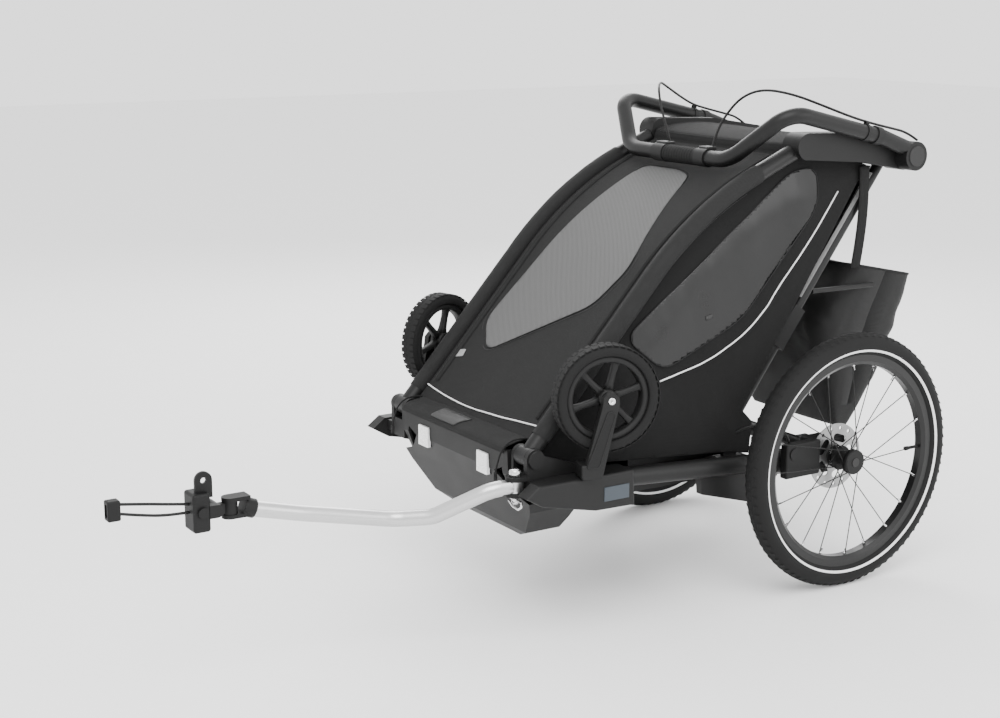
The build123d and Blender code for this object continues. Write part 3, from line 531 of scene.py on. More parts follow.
def rounded(outline, radius, steps=5):
    # a flat outline with its corners rounded
    made = []
    count = len(outline)
    for n in range(count):
        here = Vector(outline[n])
        before, after = Vector(outline[n - 1]) - here, Vector(outline[(n + 1) % count]) - here
        reach = min(radius, before.length * 0.45, after.length * 0.45)
        start, end = here + before.normalized() * reach, here + after.normalized() * reach
        for k in range(steps + 1):
            t = k / steps
            made.append(tuple(start * (1 - t) ** 2 + here * 2 * t * (1 - t) + end * t * t))
    return made


def insideBy(outline, u, v):
    # how far a point lies from the nearest edge of an outline
    best = 1e9
    for n in range(len(outline)):
        ax, ay = outline[n - 1]
        bx, by = outline[n]
        dx, dy = bx - ax, by - ay
        t = max(0, min(1, ((u - ax) * dx + (v - ay) * dy) / (dx * dx + dy * dy + 1e-12)))
        best = min(best, math.hypot(u - ax - t * dx, v - ay - t * dy))
    return best


def areaOf(outline):
    return abs(sum(a[0] * b[1] - b[0] * a[1] for a, b in zip(outline, outline[1:] + outline[:1]))) / 2e6


def flatOf(outline):
    return tuple((max(p[k] for p in outline) - min(p[k] for p in outline)) / 1000 for k in (0, 1))


def follow(points, spacing):
    # evenly spaced places along a line, each with its direction
    line = [Vector(p) for p in points]
    made, left = [], spacing / 2
    for a, b in zip(line, line[1:]):
        run = (b - a).length
        while left <= run:
            made.append((a + (b - a) * (left / run), b - a))
            left += spacing
        left -= run
    return made


stitch = {"spacing": 0.005, "size": (0.0034, 0.0009, 0.0006), "flat": (0.0034, 0.0009, 0.0005)}


def stitched(name, line, outward, spacing=stitch["spacing"], size=stitch["size"], finish="stitching"):
    # a row of stitches, or of zip teeth, along a line
    return blocks(name, [(spot, way, outward) for spot, way in follow(line, spacing)], size, finish)


def alongLine(line, v):
    # the place a share v of the way through a line's points
    n = max(0, min(0.9999, v)) * (len(line) - 1)
    low, share = int(n), n - int(n)
    return line[low] * (1 - share) + line[min(low + 1, len(line) - 1)] * share


def fitted(pieces, body):
    for piece, slot in pieces:
        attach(piece, body)


sides = (("Left", 1), ("Right", -1))

# the folding roll tube, seen from the side

rollLine = {"foldPin": (-685, 340), "bend": (-318, 745), "bendRadius": 680, "top": (-64, 853.9),
            "coverStart": 26}


def rollSpot(s, lift=0.0):
    # (y, z) and its outward normal, s from the cover's lower edge along the tube's line
    start, bend, top = (np.array(rollLine[k], float) for k in ("foldPin", "bend", "top"))
    up = (bend - start) / np.linalg.norm(bend - start)
    on = (top - bend) / np.linalg.norm(top - bend)
    angle = math.acos(up @ on)
    tangent = rollLine["bendRadius"] * math.tan(angle / 2)
    straight = np.linalg.norm(bend - start) - tangent
    s = s + rollLine["coverStart"]
    arc = rollLine["bendRadius"] * angle
    if s < straight:
        spot, way = start + up * s, up
    elif s < straight + arc:
        a = (s - straight) / rollLine["bendRadius"]
        way = up * math.cos(a) + np.array([up[1], -up[0]]) * math.sin(a)
        centre = start + up * straight + np.array([up[1], -up[0]]) * rollLine["bendRadius"]
        spot = centre + np.array([-way[1], way[0]]) * rollLine["bendRadius"]
    else:
        spot, way = bend + on * (tangent + s - straight - arc), on
    normal = np.array([-way[1], way[0]])
    return spot + normal * lift, normal


# front cover

cover = {
    "halfWidth": 198.6,
    "length": 748,
    "lift": -3.2,         # the cloth's middle, from the tube's centre line
    "dip": 5.0,           # how far the stretched cloth falls in between the tubes
    "thickness": 0.0016,
    "zipAt": 176,
    "hemAt": 191,
    "window": [(-166, 198), (-104, 652), (3, 652), (54, 635), (137, 380), (107, 289), (-100, 136)],
    "piping": [(-198, 31), (-150, 25), (-103, 21), (-28, 18), (57, 22), (120, 27), (198, 33)],
    "tab": [(-184, 119), (-160, 126), (-156, 110), (-180, 103)],
}


def onCover(x, s, proud=0.0):
    across = 1 - (x / cover["halfWidth"]) ** 2
    along = math.sin(math.pi * max(0, min(1, s / cover["length"])))
    ripple = noise.noise(Vector((x / 90, s / 140, 3))) * 1.6 * across
    # soft pull lines that run out of the lower corners
    pull = 0.8 * math.sin((abs(x) + s * 0.6) / 21) * math.exp(-s / 110) * across
    lift = cover["lift"] - cover["dip"] * across * along + ripple * along + pull + proud
    (y, z), normal = rollSpot(s, lift)
    return at(x, y, z)


half = cover["halfWidth"]
frontCover = gridMesh("frontCover", 60, 110, lambda u, v: onCover(half * (2 * u - 1), v * cover["length"]),
                      "coverCloth")
thicken(frontCover, cover["thickness"])
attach(frontCover, "upper_frame")
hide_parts("front_cover")

windowLine = rounded(cover["window"], 26)
frontWindow = cutCloth("frontWindow", windowLine, 9, lambda x, s: onCover(x, s, 1.3), "net")
thicken(frontWindow, 0.0006)
windowSeam = pipe("frontWindowSeam", [onCover(x, s, 1.6) for x, s in windowLine], 0.0011, "bandCloth",
                  closed=True)
coverUp = onCover(0, 300, 1) - onCover(0, 300)
wider = [(x * 1.05 + 1, (s - 400) * 1.02 + 400) for x, s in cover["window"]]
windowStitches = stitched("frontWindowStitches", [onCover(x, s, 1.0) for x, s in rounded(wider, 26)], coverUp,
                          0.0048, (0.0032, 0.0009, 0.0006))


def coverTrack(x, start, proud):
    # a line up the cover, from just above its lower edge
    return [onCover(x, s, proud) for s in range(start, 742, 6)]


tracks = []
for side, sign in sides:
    zipAt = sign * cover["zipAt"]
    tracks.append(pipe(f"zipTape{side}", coverTrack(zipAt, 44, 1.2), 0.0052, "bandCloth", flatten=0.16))
    tracks.append(stitched(f"zipTeeth{side}", coverTrack(zipAt, 44, 1.9), coverUp, 0.0032,
                           (0.0018, 0.0042, 0.0011), "darkPlastic"))
    tracks.append(stitched(f"hemStitches{side}", coverTrack(sign * cover["hemAt"], 40, 0.9), coverUp))
coverPiping = pipe("coverPiping", [onCover(x, s, 2.4) for x, s in smoothLine(cover["piping"])], 0.0015,
                   "pipingWhite")

# the flap over the nose, with its patch; the patch's outline is (x, share of the flap's depth)

flap = {
    "halfWidth": 183,
    "line": [(-664, 362), (-672, 359), (-688, 357), (-702, 354), (-710.5, 349), (-712, 341)],
    "depth": 60,
    "patch": [(-84, 0.2), (14, 0.2), (8, 0.74), (-78, 0.74)],
}
flapLine = smoothLine(flap["line"], 8)


def onFlap(x, v, proud=0.0):
    y, z = alongLine(flapLine, v)
    ripple = noise.noise(Vector((x / 42, v * 3, 2))) * 1.3 * math.sin(math.pi * v)
    return at(x, y - proud * 0.5, z + ripple + proud * 0.87)


flapSheet = gridMesh("coverFlap", 60, 16, lambda u, v: onFlap(flap["halfWidth"] * (2 * u - 1), v),
                     "coverCloth")
coverFlap = settle(thicken(flapSheet, 0.0014))
patchEdge = rounded([(x, v * flap["depth"]) for x, v in flap["patch"]], 5)
patchSheet = cutCloth("coverPatch", patchEdge, 6, lambda x, v: onFlap(x, v / flap["depth"], 2.0),
                      "patchPlastic")
coverPatch = settle(thicken(patchSheet, 0.002))
for piece in (coverFlap, coverPatch):
    at(0, -708, 352)
    at(0, -668, 352)
    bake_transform(piece)
coverTab = cutCloth("coverTab", rounded(cover["tab"], 3), 6, lambda x, s: onCover(x, s, 1.6), "greyWebAndHighlight")
thicken(coverTab, 0.0012)
fitted([(frontWindow, "fabric_cover"), (windowSeam, "fabric_black"), (windowStitches, "fabric_black"),
        (coverPiping, "reflector_white"), (coverTab, "webbing_black"),
        *[(track, "fabric_black") for track in tracks]], "upper_frame")
print("front cover made")

# sleeves of cloth round the roll tubes

sleeve = {"x": 217, "radius": 17.5, "from": 14, "to": 668, "ridge": 1.3}
for side, sign in sides:

    def sleeveSpot(u, v):
        s = sleeve["from"] + v * (sleeve["to"] - sleeve["from"])
        (y, z), normal = rollSpot(s)
        angle = 2 * math.pi * u
        radius = sleeve["radius"] + 0.35 * noise.noise(Vector((math.cos(angle) * 1.5, s / 24, sign)))
        # a raised seam along the outer edge
        radius += sleeve["ridge"] * math.exp(-((angle - math.pi * 0.14) / 0.1) ** 2)
        out, up = math.cos(angle) * radius, math.sin(angle) * radius
        return at(sign * (sleeve["x"] + out), y + normal[0] * up, z + normal[1] * up)

    fitted([(gridMesh(f"rollSleeve{side}", 32, 120, sleeveSpot, "bandCloth"), "fabric_black")], "upper_frame")
print("roll sleeves made")

# roof

roof = {
    "halfWidth": 198.4,
    "line": [(-107, 828.5), (-100, 836.5), (-97, 848), (-88, 857), (-40, 864), (20, 864.5), (90, 857),
             (150, 847.5), (158, 838)],
    "sag": 3.0,
}
roofLine = smoothLine(roof["line"], 10)


def onRoof(x, v, proud=0.0):
    y, z = alongLine(roofLine, v)
    belly = (1 - (x / roof["halfWidth"]) ** 2) * math.sin(math.pi * v)
    ripple = noise.noise(Vector((x / 70, v * 4, 8))) * 0.9
    return at(x, y, z - roof["sag"] * belly + ripple * belly + proud)


roofPanel = gridMesh("roofPanel", 60, 40, lambda u, v: onRoof(roof["halfWidth"] * (2 * u - 1), v),
                     "coverCloth")
thicken(roofPanel, 0.0016)
roofTrim = []
upward = Vector((0, 0, 1))
for side, sign in sides:
    line = [onRoof(sign * 190, v / 30, 1.2) for v in range(31)]
    roofTrim.append(stitched(f"roofStitches{side}", line, upward, size=stitch["flat"]))
    edge = [onRoof(sign * 196.5, v / 30, 1.0) for v in range(31)]
    roofTrim.append(pipe(f"roofBinding{side}", edge, 0.0014, "bandCloth"))
for place, v in (("Front", 0.3), ("Rear", 0.9)):
    line = [onRoof(x, v, 1.2) for x in range(-186, 187, 6)]
    roofTrim.append(stitched(f"roofStitches{place}", line, upward, size=stitch["flat"]))
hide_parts("roof_panel")
fitted([(piece, "fabric_cover") for piece in (roofPanel, *roofTrim)], "upper_frame")
print("roof made")

# side panels

panel = {
    "x": 210.5,
    "bulge": 7.0,
    "step": 6.5,
    "window": [(-475, 526), (-93, 806), (-28, 809), (-29, 732), (-208, 535), (-389, 457)],
    "piping": [(-397, 439), (-346, 450), (-294, 463), (-243, 484), (-198, 509), (-150, 550), (-110, 596),
               (-40, 672), (27, 760)],
    "label": [(-296, 549), (-280, 553), (-278, 546), (-294, 542)],
    "creaseStart": (-300, 346),    # the crease line's lower end
    "creaseEnd": (-354, 518),      # the crease line's upper end
}
alongTube = [tuple(rollSpot(s, -15.2)[0]) for s in range(34, 640, 14)]
panelLine = [(-650, 312), (-650, 352), *[p for p in alongTube if p[0] > -648 and p[0] < -98], (-92, 829),
             (60, 819), (102, 807), (-192, 356), (-166, 330), (-172, 268), (-238, 279), (-555, 305)]


def onPanel(sign, y, z, proud=0.0):
    edge = min(1.0, insideBy(panelLine, y, z) / 85)
    soft = edge * edge * (3 - 2 * edge)
    wrinkle = noise.noise(Vector((y / 75, z / 120, sign * 4))) * 2.4
    fine = noise.noise(Vector((y / 22 + z / 60, z / 90, sign * 9))) * 0.9
    return at(sign * (panel["x"] + (panel["bulge"] + wrinkle + fine) * soft + proud), y, z)


creaseFrom, creaseTo = at(0, *panel["creaseStart"]), at(0, *panel["creaseEnd"])


def sidePiece(piece, slot):
    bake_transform(piece)
    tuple(creaseFrom)
    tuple(creaseTo)
    return piece


for side, sign in sides:
    wall = settle(thicken(cutCloth(f"sidePanel{side}", panelLine, panel["step"],
                                   lambda y, z: onPanel(sign, y, z), "panelCloth"), 0.0014))
    windowEdge = rounded(panel["window"], 34)
    film = settle(thicken(cutCloth(f"sideWindow{side}", windowEdge, panel["step"],
                                   lambda y, z: onPanel(sign, y, z, 2.2), "tintedFilm"), 0.0006))
    trim = [
        pipe(f"sideWindowSeam{side}", [onPanel(sign, y, z, 2.5) for y, z in windowEdge], 0.0012,
             "bandCloth", closed=True),
        pipe(f"sidePiping{side}", [onPanel(sign, y, z, 2.1) for y, z in smoothLine(panel["piping"])],
             0.0015, "pipingWhite"),
        settle(thicken(cutCloth(f"sideLabel{side}", panel["label"], 5,
                                lambda y, z: onPanel(sign, y, z, 3.2), "patchPlastic"), 0.0006)),
    ]
    seam = [onPanel(sign, y + 4, z - 9, 0.9) for y, z in panelLine[2:-8]]
    trim.append(stitched(f"sideStitches{side}", seam, Vector((sign, 0, 0))))
    for piece, slot in zip((wall, film, *trim), ("fabric_black", "fabric_black", "fabric_black",
                                                 "reflector_white", "webbing_black", "fabric_black")):
        sidePiece(piece, slot)
    flatOf(panelLine)
    areaOf(panelLine)
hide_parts("side_panels")
print("side panels made")

# struts, seat and the cloth behind it

strutLine = {"foot": (-215, 305), "top": (175, 824)}
strutRun = Vector((strutLine["top"][0] - strutLine["foot"][0], strutLine["top"][1] - strutLine["foot"][1]))
strutWay = strutRun.normalized()


def onStrut(x, s, n):
    # s up the strut from its foot, n in front of it
    return at(x, strutLine["foot"][0] + strutWay.x * s - strutWay.y * n,
              strutLine["foot"][1] + strutWay.y * s + strutWay.x * n)


rear = {"halfWidth": 171, "from": 30, "to": 622, "depth": -9.8}


def onRear(u, v):
    x, s = rear["halfWidth"] * (2 * u - 1), rear["from"] + v * (rear["to"] - rear["from"])
    slack = math.sin(math.pi * u) * math.sin(math.pi * v)
    folds = noise.noise(Vector((x / 60, s / 110, 5))) * 1.4
    return onStrut(x, s, rear["depth"] - (4.5 + folds) * slack)


rearPanel = thicken(gridMesh("rearPanel", 48, 76, onRear, "panelCloth"), 0.0016)
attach(rearPanel, "rear_struts")
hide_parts("rear_panel")

pads = {"halfWidth": 155, "channels": (-380, -335, -290), "voxel": 0.006, "pressure": 4.0, "frames": 20,
        "cap": 0.008}


def padBlock(name, corners, finish):
    # a block divided finely, from eight corners given as a function of three shares
    divided = bmesh.new()
    bmesh.ops.create_cube(divided, size=1)
    bmesh.ops.subdivide_edges(divided, edges=divided.edges, cuts=24, use_grid_fill=True)
    points = [corners(v.co.x + 0.5, v.co.y + 0.5, v.co.z + 0.5) for v in divided.verts]
    faces = [tuple(v.index for v in f.verts) for f in divided.faces]
    divided.free()
    return addMesh(name, points, faces, finish)


def puff(obj):
    # remeshes the pad and fills it as stuffed cloth, then caps how far any point has moved
    obj.data.remesh_voxel_size = pads["voxel"]
    remesh = obj.modifiers.new("remesh", "REMESH")
    remesh.mode = "VOXEL"
    remesh.voxel_size = pads["voxel"]
    remesh.use_smooth_shade = True
    settle(obj)
    start = np.array([v.co for v in obj.data.vertices])
    stuffed = obj.modifiers.new("stuffing", "CLOTH")
    stuffed.settings.use_pressure = True
    stuffed.settings.uniform_pressure_force = pads["pressure"]
    stuffed.settings.effector_weights.gravity = 0
    stuffed.settings.mass = 0.3
    stuffed.point_cache.frame_start = 1
    stuffed.point_cache.frame_end = pads["frames"]
    for n in range(1, pads["frames"] + 1):
        bpy.context.scene.frame_set(n)
    settle(obj)
    moved = np.array([v.co for v in obj.data.vertices]) - start
    far = np.linalg.norm(moved, axis=1, keepdims=True)
    capped = start + moved * np.minimum(1, pads["cap"] / np.maximum(far, 1e-9))
    obj.data.vertices.foreach_set("co", capped.astype(np.float32).ravel())
    bpy.context.scene.frame_set(1)
    finer = obj.modifiers.new("finer", "SUBSURF")
    finer.levels = finer.render_levels = 1
    return settle(obj)


def crease(obj, lines, width, depth):
    # presses sewn channels down into a pad, each line a place along Y
    for v in obj.data.vertices:
        for line in lines:
            v.co.z -= depth * math.exp(-((v.co.y - line) / width) ** 2)


def cushionSpot(u, v, w):
    return at(pads["halfWidth"] * (2 * u - 1), -428 + v * 184, 293 + w * 22)


def seatBackSpot(u, v, w):
    return onStrut(pads["halfWidth"] * (2 * u - 1), 54 + v * 436, 13 + w * 12)


seatPad = padBlock("seatCushion", cushionSpot, "seatCloth")
puff(seatPad)
crease(seatPad, [at(0, y, 0).y for y in pads["channels"]], 0.004, 0.0022)
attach(seatPad, "chassis")
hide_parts("seat_cushion")

backPad = padBlock("seatBack", seatBackSpot, "seatCloth")
puff(backPad)
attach(backPad, "rear_struts")
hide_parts("seat_back")
harness = {"width": 0.024, "from": 250, "to": 455, "depth": 35}
for side, sign in sides:
    line = [onStrut(sign * (62 + 12 * v / 20), harness["from"] + v / 20 * (harness["to"] - harness["from"]),
                    harness["depth"] + 2 * math.sin(v / 20 * math.pi)) for v in range(21)]
    strap = pipe(f"harness{side}", line, harness["width"] / 2, "strapWeb", flatten=0.1, sides=12)
    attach(strap, "rear_struts")
    # painted highlight: a light grey strip of blocks along the strut's upper face stands in for the sheen of
    # light on the tube
    highlightStrip = blocks(f"strutHighlight{side}", [(onStrut(sign * (186 + 5), s, 10.0),
                                          onStrut(0, 1, 0) - onStrut(0, 0, 0),
                                          Vector((sign * 0.45, -0.7, 0.55))) for s in range(312, 600, 8)],
                   (0.0079, 0.0075, 0.0018), "greyWebAndHighlight", taper=0.98)
    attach(highlightStrip, "rear_struts")
print("seat made")

# cargo bag

bag = {
    "halfWidth": 178,
    "front": [(120, 264), (44, 470), (113, 605)],
    "back": [(180, 256), (260, 439), (297, 566)],
    "rows": 64,
    "around": 128,
}
bagFront, bagBack = smoothLine(bag["front"], 12), smoothLine(bag["back"], 12)


def onBag(u, v):
    # one ring of the bag: a rounded oblong between its front and back lines
    n = v * (len(bagFront) - 1)
    low, share = min(int(n), len(bagFront) - 2), n - min(int(n), len(bagFront) - 2)
    front = bagFront[low] * (1 - share) + bagFront[low + 1] * share
    rearEdge = bagBack[low] * (1 - share) + bagBack[low + 1] * share
    angle = 2 * math.pi * u
    power = 0.3
    across = math.copysign(abs(math.cos(angle)) ** power, math.cos(angle))
    deep = math.copysign(abs(math.sin(angle)) ** power, math.sin(angle))
    middle, reach = (front + rearEdge) / 2, (rearEdge - front) / 2
    sag = math.sin(math.pi * min(1, v * 1.05))
    hollow = 1 - 0.05 * sag * (1 - across * across) * (1 if deep > 0 else 0.3)
    folds = noise.noise(Vector((across * 2.1, deep * 2.1, v * 5.5))) * 8 * (0.35 + 0.65 * sag)
    folds += noise.noise(Vector((across * 6 + v * 5, deep * 5, v * 13))) * 3.4 * sag
    pleats = math.sin(across * 9 + v * 7) * 2.0 * sag * abs(deep)
    shrink = 1 - max(0, 3.2 + folds + pleats) / 100
    bottom = 1 - 0.25 * math.exp(-v * 14)
    y = middle[0] + reach[0] * deep * hollow * shrink * bottom
    z = middle[1] + reach[1] * deep * hollow * shrink * bottom
    dip = -5 * v ** 8 * (1 - across * across)    # the rim drops a little between its arms
    return at(bag["halfWidth"] * across * (1 - 0.28 * (1 - v) ** 3) * min(1, 0.985 - folds / 900), y, z + dip)


def bagSpot(u, v):
    if v < 0.14:    # the bottom closes towards its middle
        edge = onBag(u, 0)
        centre = at(0, 150, 262)
        return centre + (edge - centre) * (v / 0.14)
    return onBag(u, (v - 0.14) / 0.86)


cargoBag = thicken(gridMesh("cargoBag", bag["around"], bag["rows"], bagSpot, "bagCloth"), 0.0022)
rim = [onBag(u / bag["around"], 1) for u in range(bag["around"])]
bagRim = pipe("bagRim", rim, 0.0032, "bandCloth", closed=True, flatten=0.7)
settle(cargoBag)
for piece in (cargoBag, bagRim):
    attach(piece, "rear_struts")
    onStrut(0, 300, -12)
    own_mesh(piece)
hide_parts("cargo_bag")
hanger = {"top": (221, 88, 805), "low": (184.3, 112, 600), "width": 24, "belly": 5}
for side, sign in sides:

    def strapSpot(u, v):
        mid = Vector(hanger["top"]) * (1 - v) + Vector(hanger["low"]) * v
        belly = math.sin(math.pi * v) * hanger["belly"]
        return at(sign * (mid.x + belly * 0.4), mid.y + hanger["width"] * (u - 0.5) + belly, mid.z)

    strap = settle(thicken(gridMesh(f"bagStrap{side}", 4, 34, strapSpot, "strapWeb"), 0.0022))
    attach(strap, "rear_struts")
    at(0, 112, 600)
    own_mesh(strap)
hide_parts("bag_straps")
print("cargo bag made")


# cables, pulls and the safety strap

def route(name, points, radius, finish, body):
    curve = bpy.data.curves.new(name, "CURVE")
    curve.dimensions = "3D"
    curve.bevel_depth = radius / 1000
    curve.bevel_resolution = 4
    curve.resolution_u = 10
    curve.use_fill_caps = True
    spline = curve.splines.new("NURBS")
    spline.points.add(len(points) - 1)
    for spot, point in zip(spline.points, points):
        spot.co = (*at(*point), 1)
    spline.order_u = 3
    spline.use_endpoint_u = True
    obj = bpy.data.objects.new(name, curve)
    bpy.context.scene.collection.objects.link(obj)
    wear(obj, finish)
    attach(obj, body)
    return obj


cables = {
    "brakeCableLeft": [(88, -180, 847), (88, -173, 872), (95, -153, 909), (120, -138, 941), (160, -121, 956),
                       (203, -85, 947), (234, -38, 926), (253, 14, 905), (258, 62, 891.5), (258, 112, 880.5),
                       (258, 160, 870), (258, 188, 853.5)],
    "brakeCableRight": [(-44, -181, 847), (-50, -186, 875), (-68, -186, 912), (-95, -172, 945),
                        (-132, -140, 957), (-172, -92, 944), (-208, -28, 920), (-240, 33, 899),
                        (-257, 88, 886.5), (-258, 134, 875.5), (-258, 172, 866), (-258, 194, 850)],
    "lowerCable": [(264, -117, 292.3), (264, -124, 311), (257, -145, 327), (240, -173, 331),
                   (222, -199, 323), (209.4, -212, 311)],
    "strapUpper": [(96, -1264.7, 318), (97, -1296, 323), (97, -1334, 330), (96, -1381.6, 337)],
    "strapLower": [(96, -1264.7, 304), (97, -1296, 305), (97, -1334, 310), (96, -1381.2, 321)],
    "zipPull": [(185, -664.6, 361.7), (186, -690, 366), (187, -714, 356), (188, -727, 335),
                (187, -732, 309)],
}


def otherSide(points):
    return [(-x, y, z) for x, y, z in points]


upper = [route("brakeCableLeft", cables["brakeCableLeft"], 2.4, "cableSleeve", "handlebar"),
         route("brakeCableRight", cables["brakeCableRight"], 2.4, "cableSleeve", "handlebar")]
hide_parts("brake_cables")
lower = [route("lowerCableLeft", cables["lowerCable"], 2.4, "cableSleeve", "chassis"),
         route("lowerCableRight", otherSide(cables["lowerCable"]), 2.4, "cableSleeve", "chassis")]
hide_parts("lower_brake_cables")
for name, key in (("safetyStrapUpper", "strapUpper"), ("safetyStrapLower", "strapLower")):
    tether = route(name, cables[key], 2.6, "cableSleeve", "hitch_receiver")
    at(*cables[key][0])
    if key == "strapUpper":
        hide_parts("safety_strap")
for side, sign in sides:
    points = cables["zipPull"] if sign > 0 else otherSide(cables["zipPull"])
    pull = route(f"zipPull{side}", points, 1.6, "strapWeb", "upper_frame")
    end = at(*points[-1])
    tag = pipe(f"zipPullTag{side}", [end + Vector((0, 0, 0.002)), end, end - Vector((0, 0, 0.006)),
                                     end - Vector((0, 0, 0.013))], 0.0034, "darkPlastic", flatten=0.6)
    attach(tag, "upper_frame")
    at(*points[0])
    if sign > 0:
        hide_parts("zip_pulls")
print("cables made")

# big wheels

wheel = {
    "x": 303.4,
    "z": 250,
    "tyreCentre": 227.5,
    "tyreSection": 22.5,
    "spokes": 20,
    "spokeSide": 3,
    "rimInner": 190,
    "treadCount": 84,
    "ringFrom": -11.2,
    "ringTo": -6.8,
    "valve": (204, 184, 178, 177.5, 158),
    "valveCap": (162, 154),
    "boltCircle": 17.5,
    "boltFace": -31.5,
}


def wheelPlace(sign):
    return lambda across, out, up: at(sign * (wheel["x"] + across), out, wheel["z"] + up)


for side, sign in sides:
    body = f"wheel_{side.lower()}"
    place = wheelPlace(sign)
    tread = []
    for n in range(wheel["treadCount"]):
        for row, (across, twist) in enumerate(((-11, 0.35), (0, 0), (11, -0.35))):
            angle = 2 * math.pi * (n + 0.5 * (row == 1)) / wheel["treadCount"]
            radius = wheel["tyreCentre"] + math.sqrt(wheel["tyreSection"] ** 2 - across ** 2) - 0.3
            spot = place(across, radius * math.cos(angle), radius * math.sin(angle))
            ring = place(0, wheel["tyreCentre"] * math.cos(angle), wheel["tyreCentre"] * math.sin(angle))
            way = Vector((twist * sign, -math.sin(angle), math.cos(angle)))
            tread.append((spot, way, spot - ring))
    pieces = [(blocks(f"tyreTread{side}", tread, (0.0124, 0.0086, 0.0008), "tyreRubber"), "tyre_rubber")]
    for face, way in (("Outer", 1), ("Inner", -1)):
        profile = []
        for k in range(7):
            drop = wheel["ringFrom"] + (wheel["ringTo"] - wheel["ringFrom"]) * k / 6
            across = math.sqrt(wheel["tyreSection"] ** 2 - drop ** 2)
            profile.append((way * (across + 0.35), wheel["tyreCentre"] + drop))
        profile += [(a - way * 0.7, r) for a, r in reversed(profile)]
        pieces.append((spun(f"sidewallRing{face}{side}", profile, place, "sidewallWhite", steps=128),
                       "reflector_white"))
    points, faces = [], []
    for n in range(wheel["spokes"]):
        angle = math.radians(360 / wheel["spokes"] * n)
        lean = (0.26 if (n // 2) % 2 else -0.26) * 0.06
        start = wheel["rimInner"] + 0.5
        low = start - 12
        across = wheel["spokeSide"] if n % 2 else -wheel["spokeSide"]
        spot = place(across, start * math.cos(angle), start * math.sin(angle))
        way = (place(across, low * math.cos(angle + lean), low * math.sin(angle + lean)) - spot).normalized()
        edge = way.orthogonal().normalized()
        other = way.cross(edge)
        first = len(points)
        for t, radius in ((0, 0.0026), (0.004, 0.0026), (0.0045, 0.0018), (0.012, 0.0017)):
            for k in range(10):
                a = 2 * math.pi * k / 10
                points.append(spot + way * t + (edge * math.cos(a) + other * math.sin(a)) * radius)
        faces += ringFaces(4, 10, first=first)
    pieces.append((addMesh(f"nipples{side}", points, faces, "brightSteel"), "rotor_steel"))
    valve = pipe(f"valve{side}", [place(0, out, 0) for out in wheel["valve"]], 0.0032, "darkPlastic")
    pieces.append((valve, "plastic_black"))
    cap = pipe(f"valveCap{side}", [place(0, out, 0) for out in wheel["valveCap"]], 0.0042, "darkPlastic")
    pieces.append((cap, "plastic_black"))
    bolts = [(place(wheel["boltFace"], wheel["boltCircle"] * math.cos(math.radians(72 * n)),
                    wheel["boltCircle"] * math.sin(math.radians(72 * n))),
              Vector((0, 1, 0)), Vector((sign, 0, 0))) for n in range(5)]
    pieces.append((blocks(f"rotorBolts{side}", bolts, (0.006, 0.006, 0.0022), "brightSteel", taper=0.7),
                   "rotor_steel"))
    fitted(pieces, body)
print("big wheels made")

# stowed stroller wheels and their forks

caster = {"stem": (275, -600), "turn": 16.0, "trail": 35.0, "z": 445.0, "radius": 96.0, "width": 34.0,
          "treadCount": 46, "forkFace": 30.5}


def casterPlace(sign):
    turned = math.radians(caster["turn"])

    def place(across, out, up):
        out = out + caster["trail"]
        return at(sign * (caster["stem"][0] + across * math.cos(turned) + out * math.sin(turned)),
                  caster["stem"][1] - across * math.sin(turned) + out * math.cos(turned), caster["z"] + up)
    return place


